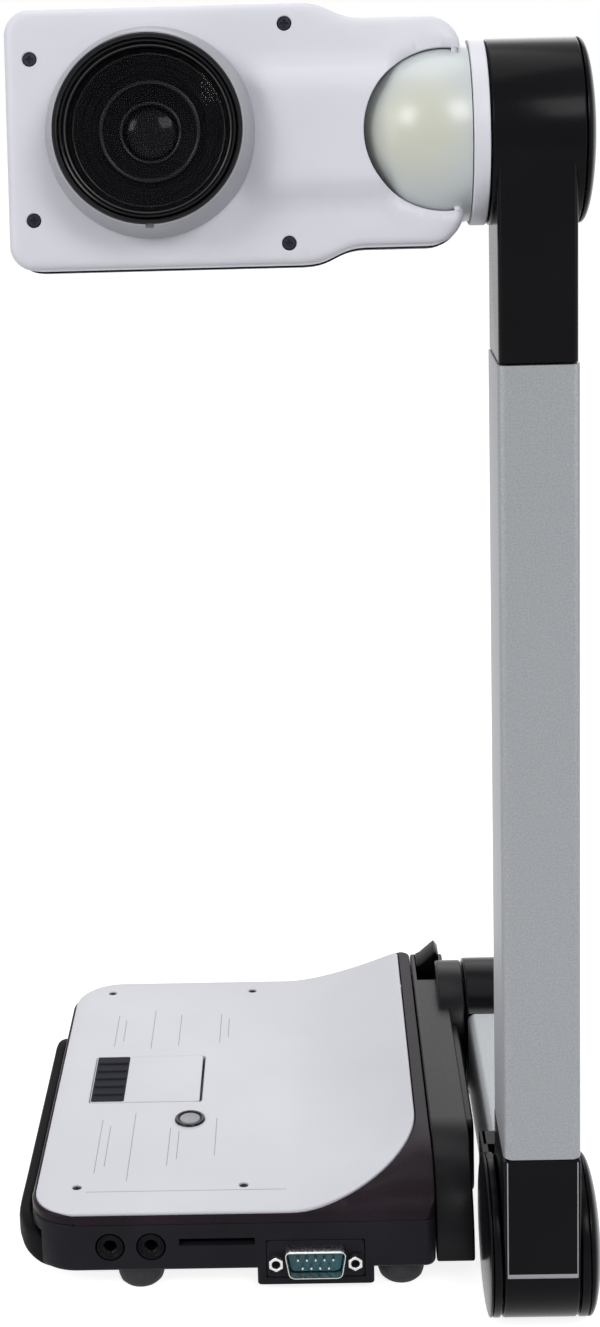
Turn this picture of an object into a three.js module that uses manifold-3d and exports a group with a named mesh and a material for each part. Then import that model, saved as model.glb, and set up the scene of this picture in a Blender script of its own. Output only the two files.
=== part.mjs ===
// Document camera: flat base with a wave-shaped deck, a two-piece folding arm and a tilting camera head.
// Millimetres, +Z up. The viewer stands on the -Y side, the arm is on the +X side.
// The model is laid out from the near face of the base (Y 0) and the floor (Z 0),
// and the whole group is moved at the end so that the origin is under the middle of its box.
import * as THREE from 'three';
import { mergeVertices } from 'three/addons/utils/BufferGeometryUtils.js';
import Module from 'manifold-3d';

const wasm = await Module();
wasm.setup();

// General clearances
const gap = 0.3;
const runningGap = 0.5;
const overrun = 2;
const weldTolerance = 0.0001;

// Smoothness, in segments
const roundSegments = 28;
const smallSegments = 12;
const cornerSegments = 4;
const domeSteps = 4;
const bendSegments = 6;
const bevelSteps = 2;
const waveSteps = 9;
const pinSides = 6;
const screwSides = 8;

// Base case
const caseLeft = -79.5;
const caseRight = 49.5;
const caseDepth = 162.4;
const footHeight = 8.5;
const caseWall = 2.2;
const caseFloor = 2.4;
const nearLeftRadius = 15;
const farLeftRadius = 18;
const rightCornerRadius = 3;

// White deck and the black rim frame under it
const deckHeight = 28.5;
const deckBand = 3.7;
const lowerCaseTop = deckHeight - deckBand;
const deckThickness = 2.2;
const waveStart = 3;
const waveEnd = 45;
const crestHeight = 40;
const wavePowerShare = 1.5;
const deckEdgeInset = 1.2;
const deckNearRightRadius = 39;
const deckFarRightRadius = 2;
const rimWall = 3;
const rimNearRound = 34;

// Bar housing on the right of the base, which carries the shoulder
const barRight = 62;
const barTop = 39.6;
const barWall = 2.4;
const barNearSetback = 3;

// Feet
const footRadius = 7.5;
const footInsetX = 34.8;
const footInsetRight = 10.9;
const footNearY = 10;
const footRecess = 1.2;
const footEdge = 1;

// Hinge line of the folded arm: elbow near the viewer, shoulder at the far end
const hubRadius = 24;
const elbowY = -7.5;
const hubFloorGap = 0.4;
const shoulderFarInset = 31.4;
const shoulderY = caseDepth - shoulderFarInset;
const pinRadius = 4;
const tubeLeft = 68.1;
const tubeWidth = 23;
const tubeDepth = 32;
const tubeCorner = 2.8;
const tubeWall = 2;

// Elbow
const leftCheek = 2.4;
const rightCheek = 2.6;
const leftCapDome = 1.7;
const rightCapDome = 4.2;
const capRim = 0.3;
const pinHeadRadius = 7;
const pinHeadThickness = 1.8;
const knuckleTop = 62.8;
const forkBridge = 8;
const plugDepth = 14;
const plugClearance = 0.35;
const shoulderTubeGap = 0.3;

// Shoulder
const bossRadius = 15;
const shoulderCapDome = 5;

// Upper arm and head hinge
const headAxisHeight = 365;
const capLength = 62.8;
const upperTubeTop = headAxisHeight - capLength;
const barrelRadius = 26.2;
const barrelWidth = 25.7;
const barrelFlare = 1.9;
const barrelCapDome = 3.8;
const capInset = 0.4;

// Camera head, laid out upright around its own hinge axis before it is tilted
const restTilt = 8;
const headLeft = -66.7;
const headRight = 59.8;
const headHalfHeight = 36.2;
const neckHalfHeight = 31.6;
const neckStart = 15;
const neckEnd = 33.5;
const headCorner = 7;
const neckCorner = 9;
const headFront = 15;
const headBack = 17;
const headSplit = 4;
const headWall = 2;
const headBevel = 2;
const backLip = 1;
const headScrewRadius = 2;
const headScrewHead = 1.2;
const headScrewLength = 12;
const headScrewInset = 7.2;
const headScrewHalfPitch = 22.3;
const neckScrewInset = 3.7;
const neckScrewHalfPitch = 30.3;
const screwPostRadius = 3.4;

// Lens
const lensX = -26.3;
const lensRaise = 1.2;
const lensBaseRadius = 29.2;
const lensNoseRadius = 26.2;
const lensProtrusion = 15;
const lensRingWall = 1.6;
const hoodClearance = 0.35;
const hoodWall = 2;
const glassThickness = 2;
const glassSetback = 4.6;
const innerRingRadius = 14;
const innerRingWall = 3;
const innerRingDepth = 8;
const rearLensRadius = 8.2;
const rearLensDome = 3;
const lensBoardThickness = 1.6;
const lensBoardHalf = 19;
const indexDepth = 0.8;
const indexHalfWidth = 1.1;

// Lamp
const domeX = 55;
const domeRadius = 26.2;
const domeWall = 1.8;
const domeRightCut = 62;
const lampBoardThickness = 1.6;
const lampBoardRadius = 12;
const lampChipHalf = 1.8;
const lampChipHeight = 1;
const lampChipSpacing = 8;

// Ports on the near face
const portRaise = 6.1;
const portHeight = footHeight + caseFloor + portRaise;
const leftJackX = -53.6;
const rightJackX = -40.6;
const jackBodyRadius = 4.3;
const jackBoreRadius = 1.8;
const jackLength = 14;
const slotX = -19.7;
const slotWidth = 24;
const slotHeight = 2.4;
const slotSocketDepth = 26;
const slotSocketWall = 1;
const slotFloorWall = 2;
const serialX = 11.35;
const serialHeight = 12.1;
const jackscrewPitch = 24.99;
const jackscrewRadius = 2.5;
const jackscrewHead = 3.4;
const jackscrewHoleRadius = 1.3;
const shellTopWidth = 18.9;
const shellHeight = 8.36;
const shellTaperDegrees = 10;
const shellWall = 0.5;
const shellProud = 4.2;
const flangeHeight = 12.5;
const flangeWidth = 30.8;
const flangeThickness = 0.8;
const serialBodyDepth = 9;
const serialPinRadius = 0.5;
const serialPinPitch = 2.77;
const serialRowPitch = 2.84;
const serialTopPins = 5;
const serialPinProud = 5.4;
const insertSetback = 5;
const bumpWidth = 37;
const bumpBottom = 3;
const bumpDepth = 14;

// Power inlet on the far face
const inletX = -50;
const inletRadius = 4.4;
const inletBore = 2.6;
const inletPin = 1;
const inletLength = 12;

// Deck fittings
const lidLeft = -66.6;
const lidRight = -27.2;
const lidNearY = 69.4;
const lidFarY = 102.3;
const lidThickness = 1.8;
const lidWellDepth = 6.4;
const lidWellWall = 1.4;
const gripWidth = 12.5;
const gripRib = 0.5;
const gripRibCount = 5;
const lidHingeRadius = 1.1;
const switchBlockWidth = 12;
const switchBlockDepth = 20;
const switchBlockHeight = 3;
const buttonX = -30.7;
const buttonY = 57.3;
const buttonRadius = 3.6;
const buttonRingRadius = 5.6;
const buttonRingHeight = 0.8;
const buttonTravel = 1;
const deckScrewRadius = 1.7;
const deckScrewHead = 0.5;
const deckScrewEdgeX = 14.3;
const deckScrewInnerX = 68.2;
const deckScrewNearY = 16;
const deckScrewFarInset = 9.4;

// Circuit board and ballast inside the base
const boardThickness = 1.6;
const boardMargin = 9;
const boardRaise = 2.4;
const ballastThickness = 1.8;
const ballastMarginX = 28;
const ballastMarginY = 26;
const tactHeight = 1.2;
const tactHalf = 3;

// Arm latch at the far end of the bar
const latchFarInset = 3.4;
const latchLength = 11;
const latchRise = 5.9;
const latchSink = 5;
const latchSideInset = 1.8;
const latchTipShare = 0.8;

// Carrying handle, a bail that pulls out of the left end
const handleBar = 4.4;
const handleGap = 1;
const handleBottom = 6;
const handleBarBottom = 10.5;
const handleTop = 20;
const handleNearY = 5.5;
const handleFarInset = 23.4;
const handleBendInset = 15.5;
const handleNearSweep = 15.8;
const handleLegWidth = 4;
const handleLegHeight = 4.6;
const handleLegReach = 24;
const handleStop = 1.6;
const handleTravel = 16;
const channelRoof = 1.4;

// Colours
const plasticWhite = 0xdcdce6;
const plasticBlack = 0x1b1b20;
const rimPlum = 0x2c2028;
const aluminium = 0xa6a6aa;
const steel = 0xb8b8bc;
const boardGreen = 0x1f5a3c;
const tealInsert = 0x1e5055;
const glassDark = 0x0c0d14;
const domeFrost = 0xcdd4d0;
const chipYellow = 0xe2d28c;
const slateScrew = 0x323241;
const rubber = 0x222226;

const quarterTurn = Math.PI / 2;
const halfTurn = Math.PI;

function toSolid(geometry) {
  const bare = geometry.index ? geometry.toNonIndexed() : geometry.clone();
  for (const extra of ['normal', 'uv']) {
    bare.deleteAttribute(extra);
  }
  const welded = mergeVertices(bare, weldTolerance);
  const vertProperties = new Float32Array(welded.attributes.position.array);
  const triVerts = new Uint32Array(welded.index.array);
  return new wasm.Manifold(new wasm.Mesh({ numProp: 3, vertProperties, triVerts }));
}

function toGeometry(solid) {
  const mesh = solid.getMesh();
  const geometry = new THREE.BufferGeometry();
  geometry.setAttribute('position', new THREE.BufferAttribute(mesh.vertProperties, 3));
  geometry.setIndex(new THREE.BufferAttribute(mesh.triVerts, 1));
  geometry.computeVertexNormals();
  return geometry;
}

function block(x0, x1, y0, y1, z0, z1) {
  const box = new THREE.BoxGeometry(x1 - x0, y1 - y0, z1 - z0);
  box.translate((x0 + x1) / 2, (y0 + y1) / 2, (z0 + z1) / 2);
  return toSolid(box);
}

function rodX(radius, x0, x1, y, z, segments = roundSegments) {
  const rod = new THREE.CylinderGeometry(radius, radius, x1 - x0, segments);
  rod.rotateZ(-quarterTurn);
  rod.translate((x0 + x1) / 2, y, z);
  return toSolid(rod);
}

function rodY(radius, x, y0, y1, z, segments = smallSegments) {
  const rod = new THREE.CylinderGeometry(radius, radius, y1 - y0, segments);
  rod.translate(x, (y0 + y1) / 2, z);
  return toSolid(rod);
}

function rodZ(radius, x, y, z0, z1, segments = smallSegments) {
  const rod = new THREE.CylinderGeometry(radius, radius, z1 - z0, segments);
  rod.rotateX(quarterTurn);
  rod.translate(x, y, (z0 + z1) / 2);
  return toSolid(rod);
}

function polygon(points) {
  return new THREE.Shape(points.map(([a, b]) => new THREE.Vector2(a, b)));
}

// A rectangle whose corner radii run near-left, near-right, far-right, far-left.
function roundedRect(a0, a1, b0, b1, radii) {
  const [r00, r10, r11, r01] = radii;
  const shape = new THREE.Shape();
  shape.moveTo(a0 + r00, b0);
  shape.lineTo(a1 - r10, b0);
  shape.absarc(a1 - r10, b0 + r10, r10, -quarterTurn, 0, false);
  shape.lineTo(a1, b1 - r11);
  shape.absarc(a1 - r11, b1 - r11, r11, 0, quarterTurn, false);
  shape.lineTo(a0 + r01, b1);
  shape.absarc(a0 + r01, b1 - r01, r01, quarterTurn, halfTurn, false);
  shape.lineTo(a0, b0 + r00);
  shape.absarc(a0 + r00, b0 + r00, r00, halfTurn, halfTurn + quarterTurn, false);
  return shape;
}

function evenRect(a0, a1, b0, b1, radius) {
  return roundedRect(a0, a1, b0, b1, [radius, radius, radius, radius]);
}

function extruded(shape, length, curveSegments = cornerSegments) {
  return new THREE.ExtrudeGeometry(shape, { depth: length, bevelEnabled: false, curveSegments });
}

function prismZ(shape, z0, z1, curveSegments) {
  const prism = extruded(shape, z1 - z0, curveSegments);
  prism.translate(0, 0, z0);
  return toSolid(prism);
}

// The outline is given in Y and Z.
function prismX(shape, x0, x1, curveSegments) {
  const prism = extruded(shape, x1 - x0, curveSegments);
  prism.rotateX(quarterTurn);
  prism.rotateZ(quarterTurn);
  prism.translate(x0, 0, 0);
  return toSolid(prism);
}

// The outline is given in X and Z.
function prismY(shape, y0, y1, curveSegments) {
  const prism = extruded(shape, y1 - y0, curveSegments);
  prism.rotateX(quarterTurn);
  prism.translate(0, y1, 0);
  return toSolid(prism);
}

// A disc on an X axis whose outer face swells by dome; side is 1 for +X and -1 for -X.
function domedDisc(radius, x0, thickness, dome, y, z, side) {
  const profile = [new THREE.Vector2(0, 0), new THREE.Vector2(radius, 0)];
  for (let i = 0; i < domeSteps; i += 1) {
    const angle = quarterTurn * i / domeSteps;
    profile.push(new THREE.Vector2(radius * Math.cos(angle), thickness + dome * Math.sin(angle)));
  }
  profile.push(new THREE.Vector2(0, thickness + dome));
  const disc = new THREE.LatheGeometry(profile, roundSegments);
  disc.rotateZ(side > 0 ? -quarterTurn : quarterTurn);
  disc.translate(x0, y, z);
  return toSolid(disc);
}

const joined = (first, ...others) => others.reduce((sum, other) => sum.add(other), first);
const cut = (first, ...others) => others.reduce((rest, other) => rest.subtract(other), first);

const part = new THREE.Group();
const baseGroup = new THREE.Group();
const handleGroup = new THREE.Group();
const lowerArm = new THREE.Group();
const upperArm = new THREE.Group();
const head = new THREE.Group();
part.add(baseGroup, lowerArm, upperArm);
baseGroup.add(handleGroup);
upperArm.add(head);

function addPiece(group, name, solid, color, roughness, metalness) {
  const material = new THREE.MeshStandardMaterial({ color, roughness, metalness });
  const mesh = new THREE.Mesh(toGeometry(solid), material);
  mesh.name = name;
  group.add(mesh);
  return mesh;
}

const satin = 0.45;
const rough = 0.8;
const glossy = 0.15;
const brushed = 0.35;

// Base case
const casePlan = (inset) => roundedRect(
  caseLeft + inset, caseRight - inset, inset, caseDepth - inset,
  [nearLeftRadius - inset, rightCornerRadius, rightCornerRadius, farLeftRadius - inset],
);
const innerFloor = footHeight + caseFloor;
const footPlaces = [
  [caseLeft + footInsetX, footNearY],
  [caseRight - footInsetRight, footNearY],
  [caseLeft + footInsetX, caseDepth - footNearY],
  [caseRight - footInsetRight, caseDepth - footNearY],
];
const serialBump = (inset, z0) => block(
  serialX - bumpWidth / 2 + inset, serialX + bumpWidth / 2 - inset, inset, bumpDepth - inset, z0,
  lowerCaseTop - caseFloor,
);
const flangeCut = block(
  serialX - flangeWidth / 2 - gap, serialX + flangeWidth / 2 + gap, -overrun, flangeThickness + gap,
  serialHeight - flangeHeight / 2 - gap, serialHeight + flangeHeight / 2 + gap,
);
const serialBodyHalfWidth = shellTopWidth / 2 + shellWall;
const serialBodyHalfHeight = shellHeight / 2 + shellWall;
const serialBodyCut = block(
  serialX - serialBodyHalfWidth - gap, serialX + serialBodyHalfWidth + gap, -overrun, caseWall + overrun,
  serialHeight - serialBodyHalfHeight - gap, serialHeight + serialBodyHalfHeight + gap,
);
const jackscrewPlaces = [serialX - jackscrewPitch / 2, serialX + jackscrewPitch / 2];
const jackPlaces = [leftJackX, rightJackX];
const boardTop = innerFloor + boardRaise + boardThickness;
const slotCentre = boardTop + gap + slotFloorWall + slotHeight / 2;
let lowerCase = prismZ(casePlan(0), footHeight, lowerCaseTop);
lowerCase = joined(lowerCase, serialBump(0, bumpBottom));
lowerCase = cut(lowerCase, prismZ(casePlan(caseWall), innerFloor, lowerCaseTop + overrun));
lowerCase = cut(lowerCase, serialBump(caseWall, bumpBottom + caseWall), flangeCut, serialBodyCut);
const portRoom = joined(
  ...jackPlaces.map((x) => rodY(jackBodyRadius + gap, x, -overrun, jackLength + gap, portHeight)),
  rodY(inletRadius + gap, inletX, caseDepth - inletLength - gap, caseDepth + overrun, portHeight),
);
lowerCase = cut(lowerCase, block(
  slotX - slotWidth / 2, slotX + slotWidth / 2, -overrun, caseWall + overrun,
  slotCentre - slotHeight / 2, slotCentre + slotHeight / 2,
));
const socketLeft = slotX - slotWidth / 2 - slotSocketWall;
const socketRight = slotX + slotWidth / 2 + slotSocketWall;
const socketTop = slotCentre + slotHeight / 2 + slotSocketWall;
const socketRoom = block(
  socketLeft - gap, socketRight + gap, caseWall, caseWall + slotSocketDepth + gap, boardTop, socketTop + gap,
);
lowerCase = cut(lowerCase, portRoom);
for (const x of jackscrewPlaces) {
  lowerCase = cut(lowerCase, rodY(jackscrewRadius + gap, x, -overrun, caseWall + overrun, serialHeight));
}
for (const [x, y] of footPlaces) {
  lowerCase = cut(lowerCase, rodZ(footRadius + gap, x, y, footHeight - overrun, footHeight + footRecess));
}
// Channels under the floor in which the legs of the carrying handle slide, each with a roof inside the case
const handleOuterX = caseLeft - handleGap - handleBar;
const handleFarY = caseDepth - handleFarInset;
const handleLegEnd = caseLeft + handleLegReach;
const bendX = caseLeft + handleBendInset;
const bendHeight = handleTop - handleBottom;
const legTop = handleBottom + handleLegHeight;
const legPlaces = [
  [handleNearY + handleLegWidth / 2, handleNearSweep],
  [handleFarY - handleLegWidth / 2, bendX - handleOuterX],
];
const stopHalf = handleLegWidth / 2 + handleStop;
const stopTravelX = handleLegEnd - handleStop - handleTravel - gap;
const channelEnd = handleLegEnd + gap;
const threeQuarters = halfTurn + quarterTurn;

// Room for the bend of a leg as it slides out, in X and Z
function legSpace(sweep, clear) {
  const innerSweep = sweep - handleBar - clear;
  const innerDrop = bendHeight - handleLegHeight - clear;
  const shape = new THREE.Shape();
  shape.moveTo(caseLeft - overrun, footHeight - overrun);
  shape.lineTo(bendX, footHeight - overrun);
  shape.lineTo(bendX, handleTop - innerDrop);
  shape.absellipse(bendX, handleTop, innerSweep, innerDrop, threeQuarters, halfTurn, true);
  shape.lineTo(bendX - innerSweep, handleTop + clear);
  shape.lineTo(caseLeft - overrun, handleTop + clear);
  return shape;
}
for (const [y, sweep] of legPlaces) {
  const [stopNear, stopFar] = [y - stopHalf - gap, y + stopHalf + gap];
  const [legNear, legFar] = [y - handleLegWidth / 2 - gap, y + handleLegWidth / 2 + gap];
  const roof = joined(
    block(
      caseLeft, channelEnd + channelRoof, stopNear - channelRoof, stopFar + channelRoof,
      innerFloor - gap, legTop + gap + channelRoof,
    ),
    prismY(legSpace(sweep, gap + channelRoof), legNear - channelRoof, legFar + channelRoof, bendSegments),
  );
  lowerCase = joined(lowerCase, roof.intersect(prismZ(casePlan(0), footHeight, lowerCaseTop)));
  lowerCase = cut(
    lowerCase,
    block(stopTravelX, channelEnd, stopNear, stopFar, footHeight - overrun, legTop + gap),
    block(caseLeft - overrun, channelEnd, legNear, legFar, footHeight - overrun, legTop + gap),
    prismY(legSpace(sweep, gap), legNear, legFar, bendSegments),
  );
}
addPiece(baseGroup, 'lower_case', lowerCase, plasticBlack, satin, 0);

// Rubber feet
const footTop = footHeight + footRecess - gap;
const cornerNames = ['near_left', 'near_right', 'far_left', 'far_right'];
footPlaces.forEach(([x, y], i) => {
  const profile = [
    new THREE.Vector2(0, 0),
    new THREE.Vector2(footRadius - footEdge, 0),
    new THREE.Vector2(footRadius, footEdge),
    new THREE.Vector2(footRadius, footTop),
    new THREE.Vector2(0, footTop),
  ];
  const foot = new THREE.LatheGeometry(profile, smallSegments);
  foot.rotateX(quarterTurn);
  foot.translate(x, y, 0);
  addPiece(baseGroup, `foot_${cornerNames[i]}`, toSolid(foot), rubber, rough, 0);
});

// Wave outline of the deck, lowered by drop
function waveOutline(drop, floorZ, x0, x1) {
  const points = [[x0, floorZ], [x1, floorZ]];
  if (x1 > waveEnd) {
    points.push([x1, crestHeight - drop]);
  }
  for (let i = waveSteps; i >= 0; i -= 1) {
    const share = i / waveSteps;
    const x = waveStart + (waveEnd - waveStart) * share;
    points.push([x, deckHeight + (crestHeight - deckHeight) * share ** wavePowerShare - drop]);
  }
  points.push([x0, deckHeight - drop]);
  return polygon(points);
}

const deckPlan = (inset) => roundedRect(
  caseLeft + deckEdgeInset + inset, waveEnd - inset, deckEdgeInset + inset, caseDepth - deckEdgeInset - inset,
  [
    nearLeftRadius - deckEdgeInset, deckNearRightRadius - inset, deckFarRightRadius,
    farLeftRadius - deckEdgeInset,
  ],
);
const deckBody = (drop, floorZ, inset) => prismY(
  waveOutline(drop, floorZ, caseLeft - overrun, waveEnd), -overrun, caseDepth + overrun,
).intersect(prismZ(deckPlan(inset), floorZ, crestHeight + overrun, cornerSegments * 2));

// Black rim frame that carries the deck and rises with it on the right
const frameDrop = deckThickness + gap;
const frameFloor = lowerCaseTop + gap;
const rimStep = deckHeight - frameDrop - gap;
const sideRound = (y0, round, z0, top) => {
  const shape = new THREE.Shape();
  shape.moveTo(y0, z0);
  shape.lineTo(caseDepth, z0);
  shape.lineTo(caseDepth, top);
  shape.lineTo(y0 + round, top);
  shape.absellipse(y0 + round, z0, round, top - z0, quarterTurn, halfTurn, false);
  return shape;
};
const rimBase = prismZ(casePlan(0), frameFloor, deckHeight - deckEdgeInset / 2);
const rimStrip = prismX(sideRound(0, rimNearRound, frameFloor, crestHeight - gap), waveEnd + gap, caseRight);
let rimFrame = joined(rimBase, deckBody(frameDrop, frameFloor, 0), rimStrip);
rimFrame = cut(rimFrame, deckBody(-gap, deckHeight - frameDrop, -gap).subtract(
  deckBody(frameDrop, deckHeight - frameDrop - overrun, -gap * 2),
));
const frameHollow = deckBody(frameDrop + rimWall, footHeight, rimWall);
const frameShelf = prismZ(deckPlan(rimWall * 2), rimStep - overrun * 2, deckHeight + overrun, cornerSegments);
rimFrame = cut(rimFrame, portRoom, socketRoom, frameHollow, frameShelf.intersect(
  block(caseLeft, waveStart, 0, caseDepth, frameFloor - overrun, deckHeight + overrun),
));
const deckScrewPlaces = [
  [caseLeft + deckScrewEdgeX, deckScrewNearY],
  [caseLeft + deckScrewInnerX, deckScrewNearY],
  [caseLeft + deckScrewEdgeX, caseDepth - deckScrewFarInset],
  [caseLeft + deckScrewInnerX, caseDepth - deckScrewFarInset],
];
addPiece(baseGroup, 'rim_frame', rimFrame, rimPlum, satin, 0);

// White deck with the lid opening, the button opening and its screw holes
const lidOpening = (inset, z0, z1) => prismZ(
  evenRect(lidLeft + inset, lidRight - inset, lidNearY + inset, lidFarY - inset, gripRib * 2), z0, z1,
);
const wellFloor = deckHeight - deckThickness - lidWellDepth;
let deck = cut(
  deckBody(0, deckHeight - deckThickness, 0),
  deckBody(deckThickness, deckHeight - deckThickness - overrun, -gap),
);
const wellWalls = prismZ(
  evenRect(
    lidLeft - lidWellWall, lidRight + lidWellWall, lidNearY - lidWellWall, lidFarY + lidWellWall,
    lidWellWall,
  ),
  wellFloor, deckHeight - deckThickness / 2,
);
deck = joined(deck, wellWalls);
deck = cut(
  deck,
  lidOpening(0, deckHeight - lidThickness - gap, deckHeight + overrun),
  lidOpening(lidWellWall, wellFloor + lidWellWall, deckHeight + overrun),
  rodZ(buttonRadius + gap, buttonX, buttonY, deckHeight - deckThickness - overrun, deckHeight + overrun),
);
const hingeX = lidRight - lidHingeRadius * 2;
deck = cut(deck, block(
  hingeX - lidHingeRadius * 2, lidRight, lidNearY, lidFarY, deckHeight - lidThickness - lidHingeRadius * 2,
  deckHeight + overrun,
));
for (const [x, y] of deckScrewPlaces) {
  deck = cut(
    deck, rodZ(deckScrewRadius + gap, x, y, deckHeight - deckThickness - overrun, deckHeight + overrun),
  );
}
addPiece(baseGroup, 'deck', deck, plasticWhite, satin, 0);

// The screws that hold the deck
deckScrewPlaces.forEach(([x, y], i) => {
  const screw = rodZ(deckScrewRadius, x, y, deckHeight - deckThickness, deckHeight - deckScrewHead);
  addPiece(baseGroup, `deck_screw_${cornerNames[i]}`, screw, steel, brushed, 1);
});

// Small hinged lid with a black ribbed grip, over the setting switches
let lid = lidOpening(gap, deckHeight - lidThickness, deckHeight);
const gripRight = lidLeft + gripWidth;
const lidBarCut = block(
  hingeX - lidHingeRadius - gap, lidRight + overrun, lidNearY - overrun, lidFarY + overrun,
  deckHeight - lidThickness - overrun, deckHeight + overrun,
);
lid = cut(lid, lidBarCut, block(
  lidLeft - overrun, gripRight, lidNearY - overrun, lidFarY + overrun, deckHeight - lidThickness / 2,
  deckHeight + overrun,
));
addPiece(baseGroup, 'deck_lid', lid, plasticWhite, satin, 0);
const gripTop = deckHeight - gripRib;
let grip = block(
  lidLeft + gap, gripRight - gap, lidNearY + gap, lidFarY - gap, deckHeight - lidThickness / 2 + gap, gripTop,
);
const gripPitch = (lidFarY - lidNearY) / (gripRibCount + 1);
for (let i = 1; i <= gripRibCount; i += 1) {
  const y = lidNearY + gripPitch * i;
  grip = grip.add(
    block(
      lidLeft + gap * 2, gripRight - gap * 2, y - gripRib, y + gripRib, gripTop - gripRib / 2, deckHeight,
    ),
  );
}
addPiece(baseGroup, 'lid_grip', grip, plasticBlack, rough, 0);
const hingeBar = rodY(
  lidHingeRadius, hingeX + lidHingeRadius / 2, lidNearY + gap * 2, lidFarY - gap * 2,
  deckHeight - lidHingeRadius, smallSegments,
);
addPiece(baseGroup, 'lid_hinge_bar', hingeBar, plasticBlack, satin, 0);
const switchX = (lidLeft + lidRight) / 2;
const switchY = (lidNearY + lidFarY) / 2;
const switchFloor = wellFloor + lidWellWall + gap;
addPiece(baseGroup, 'setting_switches', block(
  switchX - switchBlockWidth / 2, switchX + switchBlockWidth / 2, switchY - switchBlockDepth / 2,
  switchY + switchBlockDepth / 2,
  switchFloor, switchFloor + switchBlockHeight,
), tealInsert, satin, 0);

// Power button, its ring and the switch under it
const ringBody = rodZ(
  buttonRingRadius, buttonX, buttonY, deckHeight + gap, deckHeight + gap + buttonRingHeight, roundSegments,
);
const ringBore = rodZ(
  buttonRadius + gap, buttonX, buttonY, deckHeight - overrun, deckHeight + overrun * 2, smallSegments,
);
addPiece(baseGroup, 'button_ring', cut(ringBody, ringBore), plasticBlack, glossy, 0);
const tactTop = boardTop + gap + tactHeight;
const buttonTop = deckHeight + gap + buttonRingHeight / 2;
addPiece(baseGroup, 'power_button', joined(
  rodZ(buttonRadius, buttonX, buttonY, deckHeight - deckThickness, buttonTop),
  rodZ(buttonRadius / 2, buttonX, buttonY, tactTop + buttonTravel + gap, deckHeight - deckThickness + gap),
), steel, satin, 0);

// Circuit board on posts, ballast plate under it, and the switch below the power button
const boardNear = bumpDepth + gap;
const boardLeft = caseLeft + boardMargin;
const boardRight = caseRight - boardMargin;
const boardFar = caseDepth - inletLength - boardMargin;
addPiece(baseGroup, 'main_board', block(
  boardLeft, boardRight, boardNear, boardFar, innerFloor + boardRaise, boardTop,
), boardGreen, satin, 0);
addPiece(baseGroup, 'ballast_plate', block(
  caseLeft + ballastMarginX, caseRight - ballastMarginX / 2, ballastMarginY, caseDepth - ballastMarginY,
  innerFloor + gap, innerFloor + gap + ballastThickness,
), steel, satin, 1);
addPiece(baseGroup, 'button_switch', block(
  buttonX - tactHalf, buttonX + tactHalf, buttonY - tactHalf, buttonY + tactHalf, boardTop + gap, tactTop,
), plasticBlack, satin, 0);

// Audio jacks
for (const [name, x] of [['audio_jack_left', leftJackX], ['audio_jack_right', rightJackX]]) {
  const body = rodY(jackBodyRadius, x, gap, jackLength, portHeight);
  addPiece(
    baseGroup, name, cut(body, rodY(jackBoreRadius, x, -overrun, jackLength - overrun, portHeight)),
    plasticBlack, glossy, 0,
  );
}

// Memory card socket
addPiece(baseGroup, 'card_socket', cut(
  block(socketLeft, socketRight, caseWall + gap, caseWall + slotSocketDepth, boardTop + gap, socketTop),
  block(
    slotX - slotWidth / 2, slotX + slotWidth / 2, -overrun, caseWall + slotSocketDepth - slotSocketWall,
    slotCentre - slotHeight / 2, slotCentre + slotHeight / 2,
  ),
), steel, brushed, 1);

// Nine-pin serial connector: metal shell with its flange, coloured insert, pins and two jackscrews
function serialOutline(grow) {
  const halfTop = shellTopWidth / 2 + grow;
  const lean = shellHeight * Math.tan(THREE.MathUtils.degToRad(shellTaperDegrees));
  const halfBottom = halfTop - lean;
  const half = shellHeight / 2 + grow;
  return polygon([
    [serialX - halfBottom, serialHeight - half], [serialX + halfBottom, serialHeight - half],
    [serialX + halfTop, serialHeight + half], [serialX - halfTop, serialHeight + half],
  ]);
}
let serialShell = joined(
  prismY(serialOutline(shellWall), -shellProud, flangeThickness / 2),
  block(
    serialX - flangeWidth / 2, serialX + flangeWidth / 2, 0, flangeThickness,
    serialHeight - flangeHeight / 2, serialHeight + flangeHeight / 2,
  ),
);
serialShell = cut(serialShell, prismY(serialOutline(0), -shellProud - overrun, flangeThickness + overrun));
for (const x of jackscrewPlaces) {
  serialShell = cut(serialShell, rodY(jackscrewHoleRadius + gap, x, -overrun, overrun, serialHeight));
}
addPiece(baseGroup, 'serial_shell', serialShell, steel, brushed, 1);
const serialPinPlaces = [];
for (let i = 0; i < serialTopPins; i += 1) {
  serialPinPlaces.push(
    [serialX + (i - (serialTopPins - 1) / 2) * serialPinPitch, serialHeight + serialRowPitch / 2],
  );
}
for (let i = 0; i < serialTopPins - 1; i += 1) {
  serialPinPlaces.push(
    [serialX + (i - (serialTopPins - 2) / 2) * serialPinPitch, serialHeight - serialRowPitch / 2],
  );
}
const insertFront = insertSetback - shellProud;
let serialInsert = joined(
  prismY(serialOutline(-gap), insertFront, flangeThickness + gap * 2),
  block(
    serialX - serialBodyHalfWidth, serialX + serialBodyHalfWidth, flangeThickness + gap, serialBodyDepth,
    serialHeight - serialBodyHalfHeight, serialHeight + serialBodyHalfHeight,
  ),
);
const pinPlateFar = serialBodyDepth + gap + flangeThickness;
let serialPins = block(
  serialX - serialBodyHalfWidth, serialX + serialBodyHalfWidth, serialBodyDepth + gap, pinPlateFar,
  serialHeight - serialRowPitch, serialHeight + serialRowPitch,
);
for (const [x, z] of serialPinPlaces) {
  serialInsert = cut(
    serialInsert, rodY(serialPinRadius + gap, x, -overrun, serialBodyDepth + overrun, z, pinSides),
  );
  serialPins = serialPins.add(
    rodY(serialPinRadius, x, insertFront - serialPinProud + overrun, pinPlateFar - gap, z, pinSides),
  );
}
addPiece(baseGroup, 'serial_insert', serialInsert, tealInsert, satin, 0);
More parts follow.
